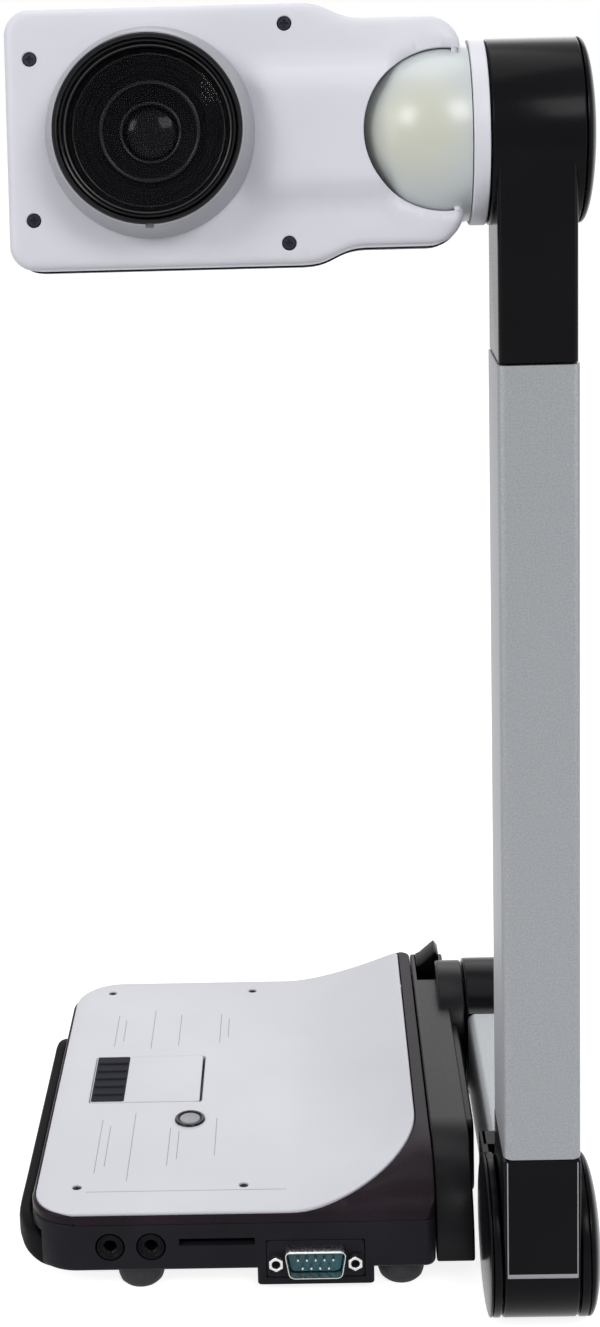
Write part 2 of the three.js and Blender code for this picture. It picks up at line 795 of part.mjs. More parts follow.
addPiece(baseGroup, 'serial_pins', serialPins, steel, brushed, 1);
jackscrewPlaces.forEach((x, i) => {
  const screwBody = joined(
    rodY(jackscrewRadius, x, -jackscrewHead, -gap, serialHeight, screwSides),
    rodY(jackscrewHoleRadius, x, -gap - overrun, caseWall + overrun, serialHeight, screwSides),
  );
  const screwFront = -jackscrewHead - overrun;
  const screw = cut(
    screwBody, rodY(jackscrewHoleRadius, x, screwFront, screwFront + overrun * 2, serialHeight, screwSides),
  );
  addPiece(baseGroup, `jackscrew_${i === 0 ? 'left' : 'right'}`, screw, steel, brushed, 1);
});

// Power inlet on the far face
const inletNear = caseDepth - inletLength;
const inletBody = cut(
  rodY(inletRadius, inletX, inletNear, caseDepth - gap, portHeight),
  rodY(inletBore, inletX, inletNear + overrun, caseDepth + overrun, portHeight),
);
const inletCore = rodY(
  inletPin, inletX, inletNear + overrun / 2, caseDepth - overrun, portHeight, screwSides,
);
addPiece(baseGroup, 'power_inlet', joined(inletBody, inletCore), plasticBlack, glossy, 0);

// Carrying handle: a bar along the left side whose two legs sweep down and under the case
function legBend(sweep) {
  const shape = new THREE.Shape();
  shape.moveTo(bendX - sweep, handleTop);
  shape.absellipse(bendX, handleTop, sweep, bendHeight, halfTurn, threeQuarters, false);
  shape.lineTo(bendX, legTop);
  shape.absellipse(
    bendX, handleTop, sweep - handleBar, bendHeight - handleLegHeight, threeQuarters, halfTurn, true,
  );
  return shape;
}
let handle = cut(
  prismZ(casePlan(-handleGap - handleBar), handleBarBottom, handleTop),
  prismZ(casePlan(-handleGap), handleBarBottom - overrun, handleTop + overrun),
).intersect(block(
  handleOuterX - overrun, bendX, handleNearY, handleFarY, handleBarBottom - overrun, handleTop + overrun,
));
for (const [y, sweep] of legPlaces) {
  const [y0, y1] = [y - handleLegWidth / 2, y + handleLegWidth / 2];
  handle = joined(
    handle,
    prismY(legBend(sweep), y0, y1, bendSegments),
    block(bendX - overrun, handleLegEnd, y0, y1, footHeight + gap, legTop),
    block(handleLegEnd - handleStop, handleLegEnd, y - stopHalf, y + stopHalf, footHeight + gap, legTop),
  );
}
addPiece(handleGroup, 'carrying_handle', handle, rubber, rough, 0);

// Bar housing with the shoulder boss, and the latch on top of it
const hubHeight = hubRadius + hubFloorGap;
const barLeft = caseRight + gap;
const bossRight = tubeLeft - gap;
const latchPlan = {
  x0: barLeft + latchSideInset,
  x1: barRight - latchSideInset,
  y0: caseDepth - latchFarInset - latchLength,
  y1: caseDepth - latchFarInset,
};
let bar = prismX(sideRound(barNearSetback, rimNearRound, footHeight, barTop), barLeft, barRight);
bar = cut(bar, prismX(
  sideRound(barNearSetback + barWall, rimNearRound - barWall, footHeight + barWall, barTop - barWall).clone(),
  barLeft - overrun, barRight - barWall,
).intersect(block(barLeft - overrun, barRight, 0, caseDepth - barWall, footHeight, barTop)));
bar = joined(bar, rodX(bossRadius, barLeft, bossRight, shoulderY, hubHeight));
bar = cut(
  bar,
  rodX(pinRadius + gap, barLeft - overrun, bossRight + overrun, shoulderY, hubHeight, smallSegments),
  rodX(
    pinHeadRadius + gap, barLeft - overrun, barLeft + pinHeadThickness + gap * 2, shoulderY, hubHeight,
    smallSegments,
  ),
  block(
    latchPlan.x0 - gap, latchPlan.x1 + gap, latchPlan.y0 - latchLength - runningGap, latchPlan.y1 + gap,
    barTop - latchSink, barTop + overrun,
  ),
);
addPiece(baseGroup, 'arm_housing', bar, plasticBlack, satin, 0);
const latchTipX = latchPlan.x0 + (latchPlan.x1 - latchPlan.x0) * latchTipShare;
addPiece(baseGroup, 'arm_latch', prismY(polygon([
  [latchPlan.x0, barTop - latchSink + gap], [latchPlan.x1, barTop - latchSink + gap],
  [latchPlan.x1, barTop + latchRise / 2],
  [latchTipX, barTop + latchRise], [latchPlan.x0, barTop + gap],
]), latchPlan.y0, latchPlan.y1), plasticBlack, satin, 0);

// Lower arm, lying down: shoulder knuckle, tube and elbow fork
const tubeRight = tubeLeft + tubeWidth;
const lowerTubeBottom = hubHeight - tubeDepth / 2;
const lowerTubeTop = hubHeight + tubeDepth / 2;
const bridgeNear = elbowY + hubRadius + runningGap * 2;
const lowerTubeNear = bridgeNear + forkBridge + gap;
const lowerTubeFar = shoulderY - hubRadius - shoulderTubeGap;
const tubeSection = (b0, b1, grow) => evenRect(
  tubeLeft - grow, tubeRight + grow, b0 - grow, b1 + grow, tubeCorner,
);
const plugGrow = -tubeWall - plugClearance;
addPiece(lowerArm, 'lower_tube', cut(
  prismY(tubeSection(lowerTubeBottom, lowerTubeTop, 0), lowerTubeNear, lowerTubeFar),
  prismY(
    tubeSection(lowerTubeBottom, lowerTubeTop, -tubeWall), lowerTubeNear - overrun, lowerTubeFar + overrun,
  ),
), aluminium, brushed, 1);
let shoulderKnuckle = joined(
  rodX(hubRadius, tubeLeft, tubeRight, shoulderY, hubHeight),
  block(tubeLeft, tubeRight, lowerTubeFar + shoulderTubeGap, shoulderY, lowerTubeBottom, lowerTubeTop),
  prismY(tubeSection(lowerTubeBottom, lowerTubeTop, plugGrow), lowerTubeFar - plugDepth, shoulderY),
);
const pinBore = (x0, x1, y, z) => rodX(pinRadius + gap, x0 - overrun, x1 + overrun, y, z, smallSegments);
shoulderKnuckle = cut(shoulderKnuckle, pinBore(tubeLeft, tubeRight, shoulderY, hubHeight));
addPiece(lowerArm, 'shoulder_knuckle', shoulderKnuckle, plasticBlack, satin, 0);
addPiece(lowerArm, 'shoulder_cap', domedDisc(
  hubRadius, tubeRight + gap, rightCheek, shoulderCapDome, shoulderY, hubHeight, 1,
), plasticBlack, satin, 0);
addPiece(baseGroup, 'shoulder_pin', joined(
  rodX(pinRadius, barLeft + gap, tubeRight, shoulderY, hubHeight, smallSegments),
  rodX(pinHeadRadius, barLeft + gap, barLeft + gap + pinHeadThickness, shoulderY, hubHeight, smallSegments),
), steel, brushed, 1);

// Elbow fork: two cheeks with the knuckle of the upper arm between them
const cheekLeft = tubeLeft - runningGap - leftCheek;
const cheekRight = tubeRight + runningGap + rightCheek;
let fork = joined(
  rodX(hubRadius, cheekLeft, cheekRight, elbowY, hubHeight),
  block(cheekLeft, cheekRight, elbowY, lowerTubeNear - gap, lowerTubeBottom, lowerTubeTop),
  prismY(tubeSection(lowerTubeBottom, lowerTubeTop, plugGrow), elbowY, lowerTubeNear + plugDepth),
);
fork = cut(
  fork,
  rodX(hubRadius + runningGap, tubeLeft - runningGap, tubeRight + runningGap, elbowY, hubHeight),
  block(
    tubeLeft - runningGap, tubeRight + runningGap, elbowY - hubRadius - overrun, bridgeNear,
    hubHeight - hubRadius - overrun, hubHeight + hubRadius + overrun,
  ),
  pinBore(cheekLeft, cheekRight, elbowY, hubHeight),
);
addPiece(lowerArm, 'elbow_fork', fork, plasticBlack, satin, 0);
addPiece(lowerArm, 'elbow_cap_left', domedDisc(
  hubRadius, cheekLeft - gap, capRim, leftCapDome, elbowY, hubHeight, -1,
), plasticBlack, satin, 0);
addPiece(lowerArm, 'elbow_cap_right', domedDisc(
  hubRadius, cheekRight + gap, capRim, rightCapDome, elbowY, hubHeight, 1,
), plasticBlack, satin, 0);
addPiece(
  lowerArm, 'elbow_pin', rodX(pinRadius, cheekLeft, cheekRight, elbowY, hubHeight, smallSegments), steel,
  brushed, 1,
);

// Upper arm: elbow knuckle, tube, top cap with the head barrel
const armFront = elbowY - hubRadius;
const armBack = armFront + tubeDepth;
const headAxisY = armFront + barrelRadius;
let knuckle = joined(
  rodX(hubRadius, tubeLeft, tubeRight, elbowY, hubHeight),
  block(tubeLeft, tubeRight, armFront, armBack, hubHeight, knuckleTop),
  prismZ(tubeSection(armFront, armBack, plugGrow), hubHeight, knuckleTop + plugDepth),
);
knuckle = cut(knuckle, pinBore(tubeLeft, tubeRight, elbowY, hubHeight));
addPiece(upperArm, 'elbow_knuckle', knuckle, plasticBlack, satin, 0);
addPiece(upperArm, 'upper_tube', cut(
  prismZ(tubeSection(armFront, armBack, 0), knuckleTop + gap, upperTubeTop),
  prismZ(tubeSection(armFront, armBack, -tubeWall), knuckleTop - overrun, upperTubeTop + overrun),
), aluminium, brushed, 1);
const barrelRight = tubeRight + barrelFlare;
const barrelLeft = barrelRight - barrelWidth;
let topCap = joined(
  rodX(barrelRadius, barrelLeft, barrelRight, headAxisY, headAxisHeight),
  block(tubeLeft + capInset, tubeRight - capInset, armFront, armBack, upperTubeTop + gap, headAxisHeight),
  prismZ(tubeSection(armFront, armBack, plugGrow), upperTubeTop - plugDepth, headAxisHeight),
);
topCap = cut(topCap, pinBore(barrelLeft, barrelRight, headAxisY, headAxisHeight));
addPiece(upperArm, 'top_cap', topCap, plasticBlack, satin, 0);
addPiece(upperArm, 'barrel_cap', domedDisc(
  barrelRadius, barrelRight + gap, capRim, barrelCapDome, headAxisY, headAxisHeight, 1,
), plasticBlack, satin, 0);

// Head pieces are laid out around the hinge axis and tilted as one group
head.position.set(0, headAxisY, headAxisHeight);
head.rotation.set(THREE.MathUtils.degToRad(-restTilt), 0, 0);
function headOutline(grow) {
  const left = headLeft - grow;
  const right = headRight + grow;
  const tall = headHalfHeight + grow;
  const low = neckHalfHeight + grow;
  const middle = (neckStart + neckEnd) / 2;
  const shape = new THREE.Shape();
  shape.moveTo(left + headCorner, -tall);
  shape.lineTo(neckStart, -tall);
  shape.bezierCurveTo(middle, -tall, middle, -low, neckEnd, -low);
  shape.lineTo(right - neckCorner, -low);
  shape.absarc(right - neckCorner, -low + neckCorner, neckCorner, -quarterTurn, 0, false);
  shape.lineTo(right, low - neckCorner);
  shape.absarc(right - neckCorner, low - neckCorner, neckCorner, 0, quarterTurn, false);
  shape.lineTo(neckEnd, low);
  shape.bezierCurveTo(middle, low, middle, tall, neckStart, tall);
  shape.lineTo(left + headCorner, tall);
  shape.absarc(left + headCorner, tall - headCorner, headCorner, quarterTurn, halfTurn, false);
  shape.lineTo(left, -tall + headCorner);
  shape.absarc(left + headCorner, -tall + headCorner, headCorner, halfTurn, halfTurn + quarterTurn, false);
  return shape;
}

const innerOutline = (y0, y1) => prismY(headOutline(-headWall), y0, y1);
const headScrewPlaces = [
  [headLeft + headScrewInset, headScrewHalfPitch],
  [headLeft + headScrewInset, -headScrewHalfPitch],
  [neckStart - neckScrewInset, neckScrewHalfPitch],
  [neckStart - neckScrewInset, -neckScrewHalfPitch],
];
const hubBoreRadius = pinRadius + headWall * 2;
const screwSeat = -headFront + headScrewHead;

function frontPlate() {
  const depth = headFront + headSplit - headBevel;
  const plate = new THREE.ExtrudeGeometry(headOutline(-headBevel), {
    depth, bevelEnabled: true, bevelThickness: headBevel, bevelSize: headBevel, bevelSegments: bevelSteps,
    curveSegments: cornerSegments,
  });
  plate.rotateX(quarterTurn);
  plate.translate(0, headSplit, 0);
  return toSolid(plate).intersect(block(
    headLeft - overrun, headRight + overrun, -headFront - overrun, headSplit, -headHalfHeight - overrun,
    headHalfHeight + overrun,
  ));
}
let frontCover = cut(frontPlate(), innerOutline(-headFront + headWall, headSplit + overrun));
for (const [x, z] of headScrewPlaces) {
  const post = rodY(screwPostRadius, x, -headFront + headWall / 2, headSplit, z);
  frontCover = frontCover.add(post.intersect(frontPlate()));
  frontCover = cut(
    frontCover,
    rodY(headScrewRadius + gap, x, -headFront - overrun, screwSeat, z),
    rodY(headScrewRadius / 2 + gap, x, -headFront, headSplit + overrun, z),
  );
}
const hoodRadius = lensNoseRadius - lensRingWall - hoodClearance;
frontCover = cut(
  frontCover,
  rodY(
    hoodRadius + gap, lensX, -headFront - overrun, -headFront + headWall + overrun, lensRaise,
    roundSegments,
  ),
  rodY(domeRadius - headWall, domeX, -headFront - overrun, -headFront + headWall + overrun, 0, roundSegments),
  rodX(hubBoreRadius + gap, domeX, headRight + overrun, 0, 0, smallSegments),
);
const domeBody = (grow, x0) => {
  const ball = new THREE.SphereGeometry(domeRadius + grow, roundSegments, roundSegments / 2);
  ball.translate(domeX, 0, 0);
  return toSolid(ball).intersect(block(
    x0, domeRightCut + grow, -domeRadius - overrun * 2, -headSplit + grow, -domeRadius - overrun,
    domeRadius + overrun,
  ));
};
const domeLeft = domeX - domeRadius - overrun;
frontCover = cut(frontCover, domeBody(gap, domeLeft));
addPiece(head, 'head_front_cover', frontCover, plasticWhite, satin, 0);

// Back cover
const backStart = headSplit + gap;
function backPlate() {
  const plate = new THREE.ExtrudeGeometry(headOutline(backLip / 2 - headBevel), {
    depth: headBack - backStart - headBevel, bevelEnabled: true, bevelThickness: headBevel,
    bevelSize: headBevel,
    bevelSegments: bevelSteps, curveSegments: cornerSegments,
  });
  plate.rotateX(quarterTurn);
  plate.translate(0, headBack - headBevel, 0);
  return toSolid(plate).intersect(block(
    headLeft - overrun, headRight + overrun, backStart, headBack + overrun, -headHalfHeight - overrun,
    headHalfHeight + overrun,
  ));
}
let backCover = cut(backPlate(), innerOutline(backStart - overrun, headBack - headWall));
for (const [x, z] of headScrewPlaces) {
  backCover = backCover.add(
    rodY(screwPostRadius, x, backStart, headBack - headWall / 2, z).intersect(backPlate()),
  );
  backCover = cut(
    backCover, rodY(headScrewRadius / 2 + gap, x, backStart - overrun, headBack - headWall - gap, z),
  );
}
const boardY = headSplit + gap;
const lensBoardBack = boardY + lensBoardThickness;
const lensBoardPosts = [-1, 1].flatMap((sx) => [-1, 1].map((sz) => [
  lensX + sx * (lensBoardHalf - headBevel * 2), lensRaise + sz * (lensBoardHalf - headBevel * 2),
]));
for (const [x, z] of lensBoardPosts) {
  backCover = backCover.add(rodY(headBevel, x, lensBoardBack + gap, headBack - headWall / 2, z, screwSides));
}
backCover = cut(backCover, rodX(hubBoreRadius + gap, domeX, headRight + overrun * 2, 0, 0, smallSegments));
addPiece(head, 'head_back_cover', backCover, plasticBlack, satin, 0);
const headScrewNames = ['top_left', 'bottom_left', 'top_right', 'bottom_right'];
headScrewPlaces.forEach(([x, z], i) => {
  const screw = joined(
    rodY(headScrewRadius, x, -headFront + gap, screwSeat - gap, z),
    rodY(headScrewRadius / 2, x, screwSeat - gap * 2, headSplit + headScrewLength / 2, z, screwSides),
  );
  addPiece(head, `head_screw_${headScrewNames[i]}`, screw, slateScrew, satin, 1);
});

// Collar with its hub, and the pin that the head turns on
const collarLeft = domeRightCut + gap;
const collarRight = barrelLeft - runningGap;
const collarBody = joined(
  rodX(barrelRadius, collarLeft, collarRight, 0, 0),
  rodX(hubBoreRadius, domeX + headWall, collarLeft + overrun / 2, 0, 0, smallSegments),
);
addPiece(
  head, 'neck_collar',
  cut(collarBody, rodX(pinRadius + gap, 0, collarRight + overrun, 0, 0, smallSegments)), plasticWhite,
  satin, 0,
);
addPiece(upperArm, 'head_pin', rodX(
  pinRadius, domeX + headWall * 2, barrelRight, headAxisY, headAxisHeight, smallSegments,
), steel, brushed, 1);

// Lens: turning ring, fixed black hood, front glass, inner ring, rear element and the sensor board
const ringFront = -headFront - lensProtrusion;
const ringBack = -headFront - gap;
function ringAboutY(profile, x, z) {
  const ring = new THREE.LatheGeometry(profile.map(([r, y]) => new THREE.Vector2(r, y)), roundSegments);
  ring.translate(x, 0, z);
  return toSolid(ring);
}
const hoodBore = hoodRadius + hoodClearance;
addPiece(head, 'lens_ring', cut(ringAboutY([
  [hoodBore, ringFront], [lensNoseRadius, ringFront], [lensBaseRadius, ringBack], [hoodBore, ringBack],
  [hoodBore, ringFront],
], lensX, lensRaise), block(
  lensX - indexHalfWidth, lensX + indexHalfWidth, ringFront - overrun, ringBack + overrun,
  lensRaise - lensBaseRadius - overrun, lensRaise - lensBaseRadius + indexDepth,
)), plasticWhite, satin, 0);
const hoodBack = boardY - gap;
const hoodInner = hoodRadius - hoodWall;
const glassFront = ringFront + glassSetback;
const glassBack = glassFront + glassThickness;
const innerFront = glassBack + gap;
addPiece(head, 'lens_hood', ringAboutY([
  [hoodInner, ringFront + gap], [hoodRadius, ringFront + gap], [hoodRadius, hoodBack],
  [hoodInner - hoodWall, hoodBack],
  [hoodInner - hoodWall, glassBack + gap], [hoodInner, glassBack + gap], [hoodInner, ringFront + gap],
], lensX, lensRaise), plasticBlack, glossy, 0);
const glassFit = hoodInner - gap;
addPiece(
  head, 'front_glass', rodY(glassFit, lensX, glassFront, glassBack, lensRaise, roundSegments), glassDark,
  glossy, 0,
);
const innerBack = innerFront + innerRingDepth;
addPiece(head, 'lens_inner_ring', ringAboutY([
  [innerRingRadius, innerFront], [hoodInner - hoodWall - gap, innerFront],
  [hoodInner - hoodWall - gap, innerFront + innerRingWall],
  [innerRingRadius, innerBack], [innerRingRadius, innerFront],
], lensX, lensRaise), plasticBlack, glossy, 0);
const cellBack = boardY - gap;
const cellFront = innerBack + gap;
addPiece(head, 'lens_cell', cut(
  rodY(innerRingRadius, lensX, cellFront, cellBack, lensRaise, roundSegments),
  rodY(
    rearLensRadius + gap, lensX, cellFront - overrun, cellFront + rearLensDome * 2, lensRaise,
    smallSegments,
  ),
), plasticBlack, satin, 0);
addPiece(head, 'sensor_board', block(
  lensX - lensBoardHalf, lensX + lensBoardHalf, boardY, lensBoardBack, lensRaise - lensBoardHalf,
  lensRaise + lensBoardHalf,
), boardGreen, satin, 0);

// Lamp: frosted dome, and its board with four light chips
addPiece(head, 'lamp_dome', cut(domeBody(0, domeLeft), domeBody(-domeWall, domeLeft).add(
  rodY(
    domeRadius - domeWall * 2, domeX - overrun * 2, -headSplit - overrun * 2, -headSplit + overrun, 0,
    roundSegments,
  ),
)), domeFrost, satin, 0);
const lampFront = -hubBoreRadius - lampBoardThickness - gap;
const lampX = domeRightCut - domeWall - runningGap - lampBoardRadius;
let lampBoard = rodY(lampBoardRadius, lampX, lampFront, lampFront + lampBoardThickness, 0, smallSegments);
for (const sx of [-1, 1]) {
  for (const sz of [-1, 1]) {
    const x = lampX + sx * lampChipSpacing / 2;
    const z = sz * lampChipSpacing / 2;
    lampBoard = lampBoard.add(block(
      x - lampChipHalf, x + lampChipHalf, lampFront - lampChipHeight, lampFront + lampBoardThickness / 2,
      z - lampChipHalf, z + lampChipHalf,
    ));
  }
}
addPiece(head, 'lamp_board', lampBoard, chipYellow, satin, 0);

// Put the origin under the middle of the whole box
part.updateMatrixWorld(true);
const box = new THREE.Box3().setFromObject(part, true);
part.position.set(-(box.min.x + box.max.x) / 2, -(box.min.y + box.max.y) / 2, -box.min.z);

export default part;
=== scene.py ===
import math

import bmesh
import bpy
from mathutils import Matrix, Vector, geometry


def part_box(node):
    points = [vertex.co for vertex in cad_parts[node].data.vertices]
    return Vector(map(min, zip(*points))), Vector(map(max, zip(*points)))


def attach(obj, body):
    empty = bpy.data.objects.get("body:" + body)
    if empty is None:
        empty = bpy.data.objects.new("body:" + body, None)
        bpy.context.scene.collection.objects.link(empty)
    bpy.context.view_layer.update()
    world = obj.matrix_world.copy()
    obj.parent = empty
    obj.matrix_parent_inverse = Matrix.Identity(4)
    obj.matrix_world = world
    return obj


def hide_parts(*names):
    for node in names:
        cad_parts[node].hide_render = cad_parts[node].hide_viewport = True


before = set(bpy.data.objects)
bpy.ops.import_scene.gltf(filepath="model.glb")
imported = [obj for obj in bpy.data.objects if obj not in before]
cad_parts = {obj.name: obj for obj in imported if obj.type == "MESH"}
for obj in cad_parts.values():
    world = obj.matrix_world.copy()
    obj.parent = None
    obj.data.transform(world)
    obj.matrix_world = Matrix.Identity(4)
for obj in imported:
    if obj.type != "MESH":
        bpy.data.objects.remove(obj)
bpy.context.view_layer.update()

bl_info = {
    "name": "Document Camera Finish",
    "version": (1, 0, 0),
    "blender": (4, 5, 0),
    "location": "View3D > Sidebar > Document Camera",
    "description": "Dresses the packed document camera with its shells, arm, head, ports and studio",
    "category": "Object",
}

MM = 0.001

# Layout sizes in millimetres, from the near face of the base and the floor, mostly the CAD model's own
CASE_LEFT, CASE_RIGHT, CASE_DEPTH = -79.5, 49.5, 162.4
FOOT_HEIGHT, LOWER_TOP = 8.5, 24.8
DECK_HEIGHT, CREST_HEIGHT = 28.5, 40.0
WAVE_START, WAVE_END, WAVE_POWER = 3.0, 45.0, 1.5
DECK_INSET = 1.2
BAR_RIGHT, BAR_TOP, BAR_ROUND, BAR_SETBACK = 62.0, 39.6, 34.0, 3.0
HUB_RADIUS, HUB_Z = 24.0, 24.4
ELBOW_Y, SHOULDER_Y = -7.5, 131.0
TUBE_LEFT, TUBE_WIDTH, TUBE_DEPTH, TUBE_CORNER = 68.1, 23.0, 32.0, 2.8
TUBE_RIGHT = TUBE_LEFT + TUBE_WIDTH
LEFT_CHEEK, RIGHT_CHEEK = 2.4, 2.6
KNUCKLE_TOP, UPPER_TUBE_TOP = 62.8, 302.2
BARREL_RADIUS, BARREL_WIDTH = 26.2, 25.7
BARREL_RIGHT = TUBE_RIGHT + 1.9
BARREL_LEFT = BARREL_RIGHT - BARREL_WIDTH
ARM_FRONT = ELBOW_Y - HUB_RADIUS
ARM_BACK = ARM_FRONT + TUBE_DEPTH
HEAD_Y, HEAD_Z, REST_TILT = ARM_FRONT + BARREL_RADIUS, 365.0, 8.0
HEAD_LEFT, HEAD_RIGHT = -66.7, 59.8
HEAD_TALL, NECK_TALL = 36.2, 31.6
NECK_START, NECK_END = 15.0, 33.5
HEAD_FRONT, HEAD_SPLIT, HEAD_BACK = 15.0, 4.0, 17.0
LENS_X, LENS_Z = -26.3, 1.2
DOME_X, DOME_RADIUS, DOME_CUT, DOME_MOUTH = 55.0, 26.2, 62.0, 22.5
GAP = 0.3
CASE_CORNERS, DECK_CORNERS = (15, 3.5, 3.5, 18), (13.8, 39, 2.6, 16.8)

# Shaped plates: distance between inner points, length of edge steps, and rounding of holes
SPACING, EDGE_STEP, HOLE_EDGE = 2.6, 2.0, 0.25

near_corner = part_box("lower_case")[0]
LAYOUT = Matrix.Translation((near_corner[0] - CASE_LEFT * MM, near_corner[1], 0)) @ Matrix.Scale(MM, 4)
HEAD = LAYOUT @ Matrix.Translation((0, HEAD_Y, HEAD_Z)) @ Matrix.Rotation(math.radians(-REST_TILT), 4, "X")


def linear(hex_code):
    """sRGB hex to a linear colour with alpha."""
    channels = [int(hex_code[i:i + 2], 16) / 255 for i in (1, 3, 5)]
    return tuple(c / 12.92 if c <= 0.04045 else ((c + 0.055) / 1.055) ** 2.4 for c in channels) + (1.0,)


def add_node(tree, kind, inputs=(), **settings):
    """Adds a node, sets its properties, and fills or links its inputs."""
    node = tree.nodes.new(kind)
    for key, value in settings.items():
        setattr(node, key, value)
    for key, value in dict(inputs).items():
        if isinstance(value, bpy.types.NodeSocket):
            tree.links.new(value, node.inputs[key])
        else:
            node.inputs[key].default_value = value
    return node


def new_material(name, **shader):
    """A material with one Principled shader; shader holds its constants."""
    material = bpy.data.materials.new(name)
    material.use_nodes = True
    tree = material.node_tree
    principled = next(n for n in tree.nodes if n.type == "BSDF_PRINCIPLED")
    for key, value in shader.items():
        principled.inputs[key.replace("_", " ")].default_value = value
    coords = add_node(tree, "ShaderNodeTexCoord")
    return material, tree, principled, coords.outputs["Object"]


def mottle(tree, coords, size_mm, low, high, detail=3.0):
    """Two colours mixed by a noise whose blotches are about size_mm across."""
    noise = add_node(tree, "ShaderNodeTexNoise", {
        "Vector": coords, "Scale": 1 / (size_mm * MM), "Detail": detail,
    })
    ramp = add_node(tree, "ShaderNodeValToRGB", {"Fac": noise.outputs["Fac"]})
    ramp.color_ramp.elements[0].position = 0.3
    ramp.color_ramp.elements[0].color = low
    ramp.color_ramp.elements[1].position = 0.7
    ramp.color_ramp.elements[1].color = high
    return ramp.outputs["Color"]


def grain(tree, principled, coords, size_mm, height_mm, rough_low, rough_high):
    """Moulded or blasted grain: bump and a matching change of roughness.
    Real grain is about a tenth of a millimetre, too fine to show, so it is drawn several times as coarse."""
    noise = add_node(tree, "ShaderNodeTexNoise", {
        "Vector": coords, "Scale": 1 / (size_mm * MM), "Detail": 2.0,
    })
    bump = add_node(tree, "ShaderNodeBump", {
        "Height": noise.outputs["Fac"], "Distance": height_mm * MM, "Strength": 0.6,
    })
    tree.links.new(bump.outputs["Normal"], principled.inputs["Normal"])
    spread = add_node(tree, "ShaderNodeMapRange", {
        "Value": noise.outputs["Fac"], "From Min": 0.3, "From Max": 0.7,
        "To Min": rough_low, "To Max": rough_high,
    })
    tree.links.new(spread.outputs["Result"], principled.inputs["Roughness"])


def moulded_plastic(name, low, high, rough, grain_mm, height_mm, blotch_mm=30.0, **shader):
    """Injection-moulded plastic with a fine spark-eroded grain and a faint drift of tone."""
    material, tree, principled, coords = new_material(name, **shader)
    tone = mottle(tree, coords, blotch_mm, linear(low), linear(high))
    tree.links.new(tone, principled.inputs["Base Color"])
    grain(tree, principled, coords, grain_mm, height_mm, rough - 0.05, rough + 0.05)
    return material


def blasted_aluminium():
    """Extruded aluminium, bead blasted and clear anodised: a fine sparkle of light and dark grains."""
    material, tree, principled, coords = new_material("anodised_aluminium", Metallic=1.0)
    fine = mottle(tree, coords, 0.5, linear("#888B8E"), linear("#97999C"), 2.0)
    tree.links.new(fine, principled.inputs["Base Color"])
    grain(tree, principled, coords, 0.45, 0.012, 0.42, 0.5)
    return material


def bare_metal(name, low, high, rough):
    """Plated or drawn metal with faint level lines."""
    material, tree, principled, coords = new_material(name, Metallic=1.0)
    mapping = add_node(tree, "ShaderNodeMapping", {"Vector": coords, "Scale": (1, 1, 8)})
    drawn = mapping.outputs["Vector"]
    tree.links.new(mottle(tree, drawn, 1.2, linear(low), linear(high)), principled.inputs["Base Color"])
    grain(tree, principled, drawn, 0.6, 0.01, rough - 0.06, rough + 0.06)
    return material


def frosted_dome_material():
    """Frosted polycarbonate over warm light chips: yellower at the middle and cooler to the rim."""
    material, tree, principled, coords = new_material(
        "frosted_polycarbonate", Roughness=0.32, IOR=1.58, Coat_Weight=0.2, Coat_Roughness=0.2)
    middle = HEAD @ Vector((DOME_X - 9, -DOME_RADIUS, 0))
    away = add_node(tree, "ShaderNodeVectorMath", {0: coords, 1: tuple(middle)}, operation="DISTANCE")
    fade = add_node(tree, "ShaderNodeMapRange", {
        "Value": away.outputs["Value"], "From Min": 6 * MM, "From Max": 22 * MM, "To Min": 0.0, "To Max": 1.0,
    }, interpolation_type="SMOOTHSTEP")
    warm = add_node(tree, "ShaderNodeMix", {
        "Factor": fade.outputs["Result"], "A": linear("#CBCDBF"), "B": linear("#C6CDCE"),
    }, data_type="RGBA")
    colour = next(o for o in warm.outputs if o.type == "RGBA")
    tree.links.new(colour, principled.inputs["Base Color"])
    return material


def optical_glass():
    """Coated front element: clear with a cold violet tinge and a mirror-smooth face."""
    material, tree, principled, coords = new_material(
        "coated_glass", Roughness=0.05, IOR=1.52, Alpha=0.22, Specular_IOR_Level=0.1)
    tint = mottle(tree, coords, 18.0, linear("#06060C"), linear("#0A0A12"))
    tree.links.new(tint, principled.inputs["Base Color"])
    return material


MATERIALS = {}


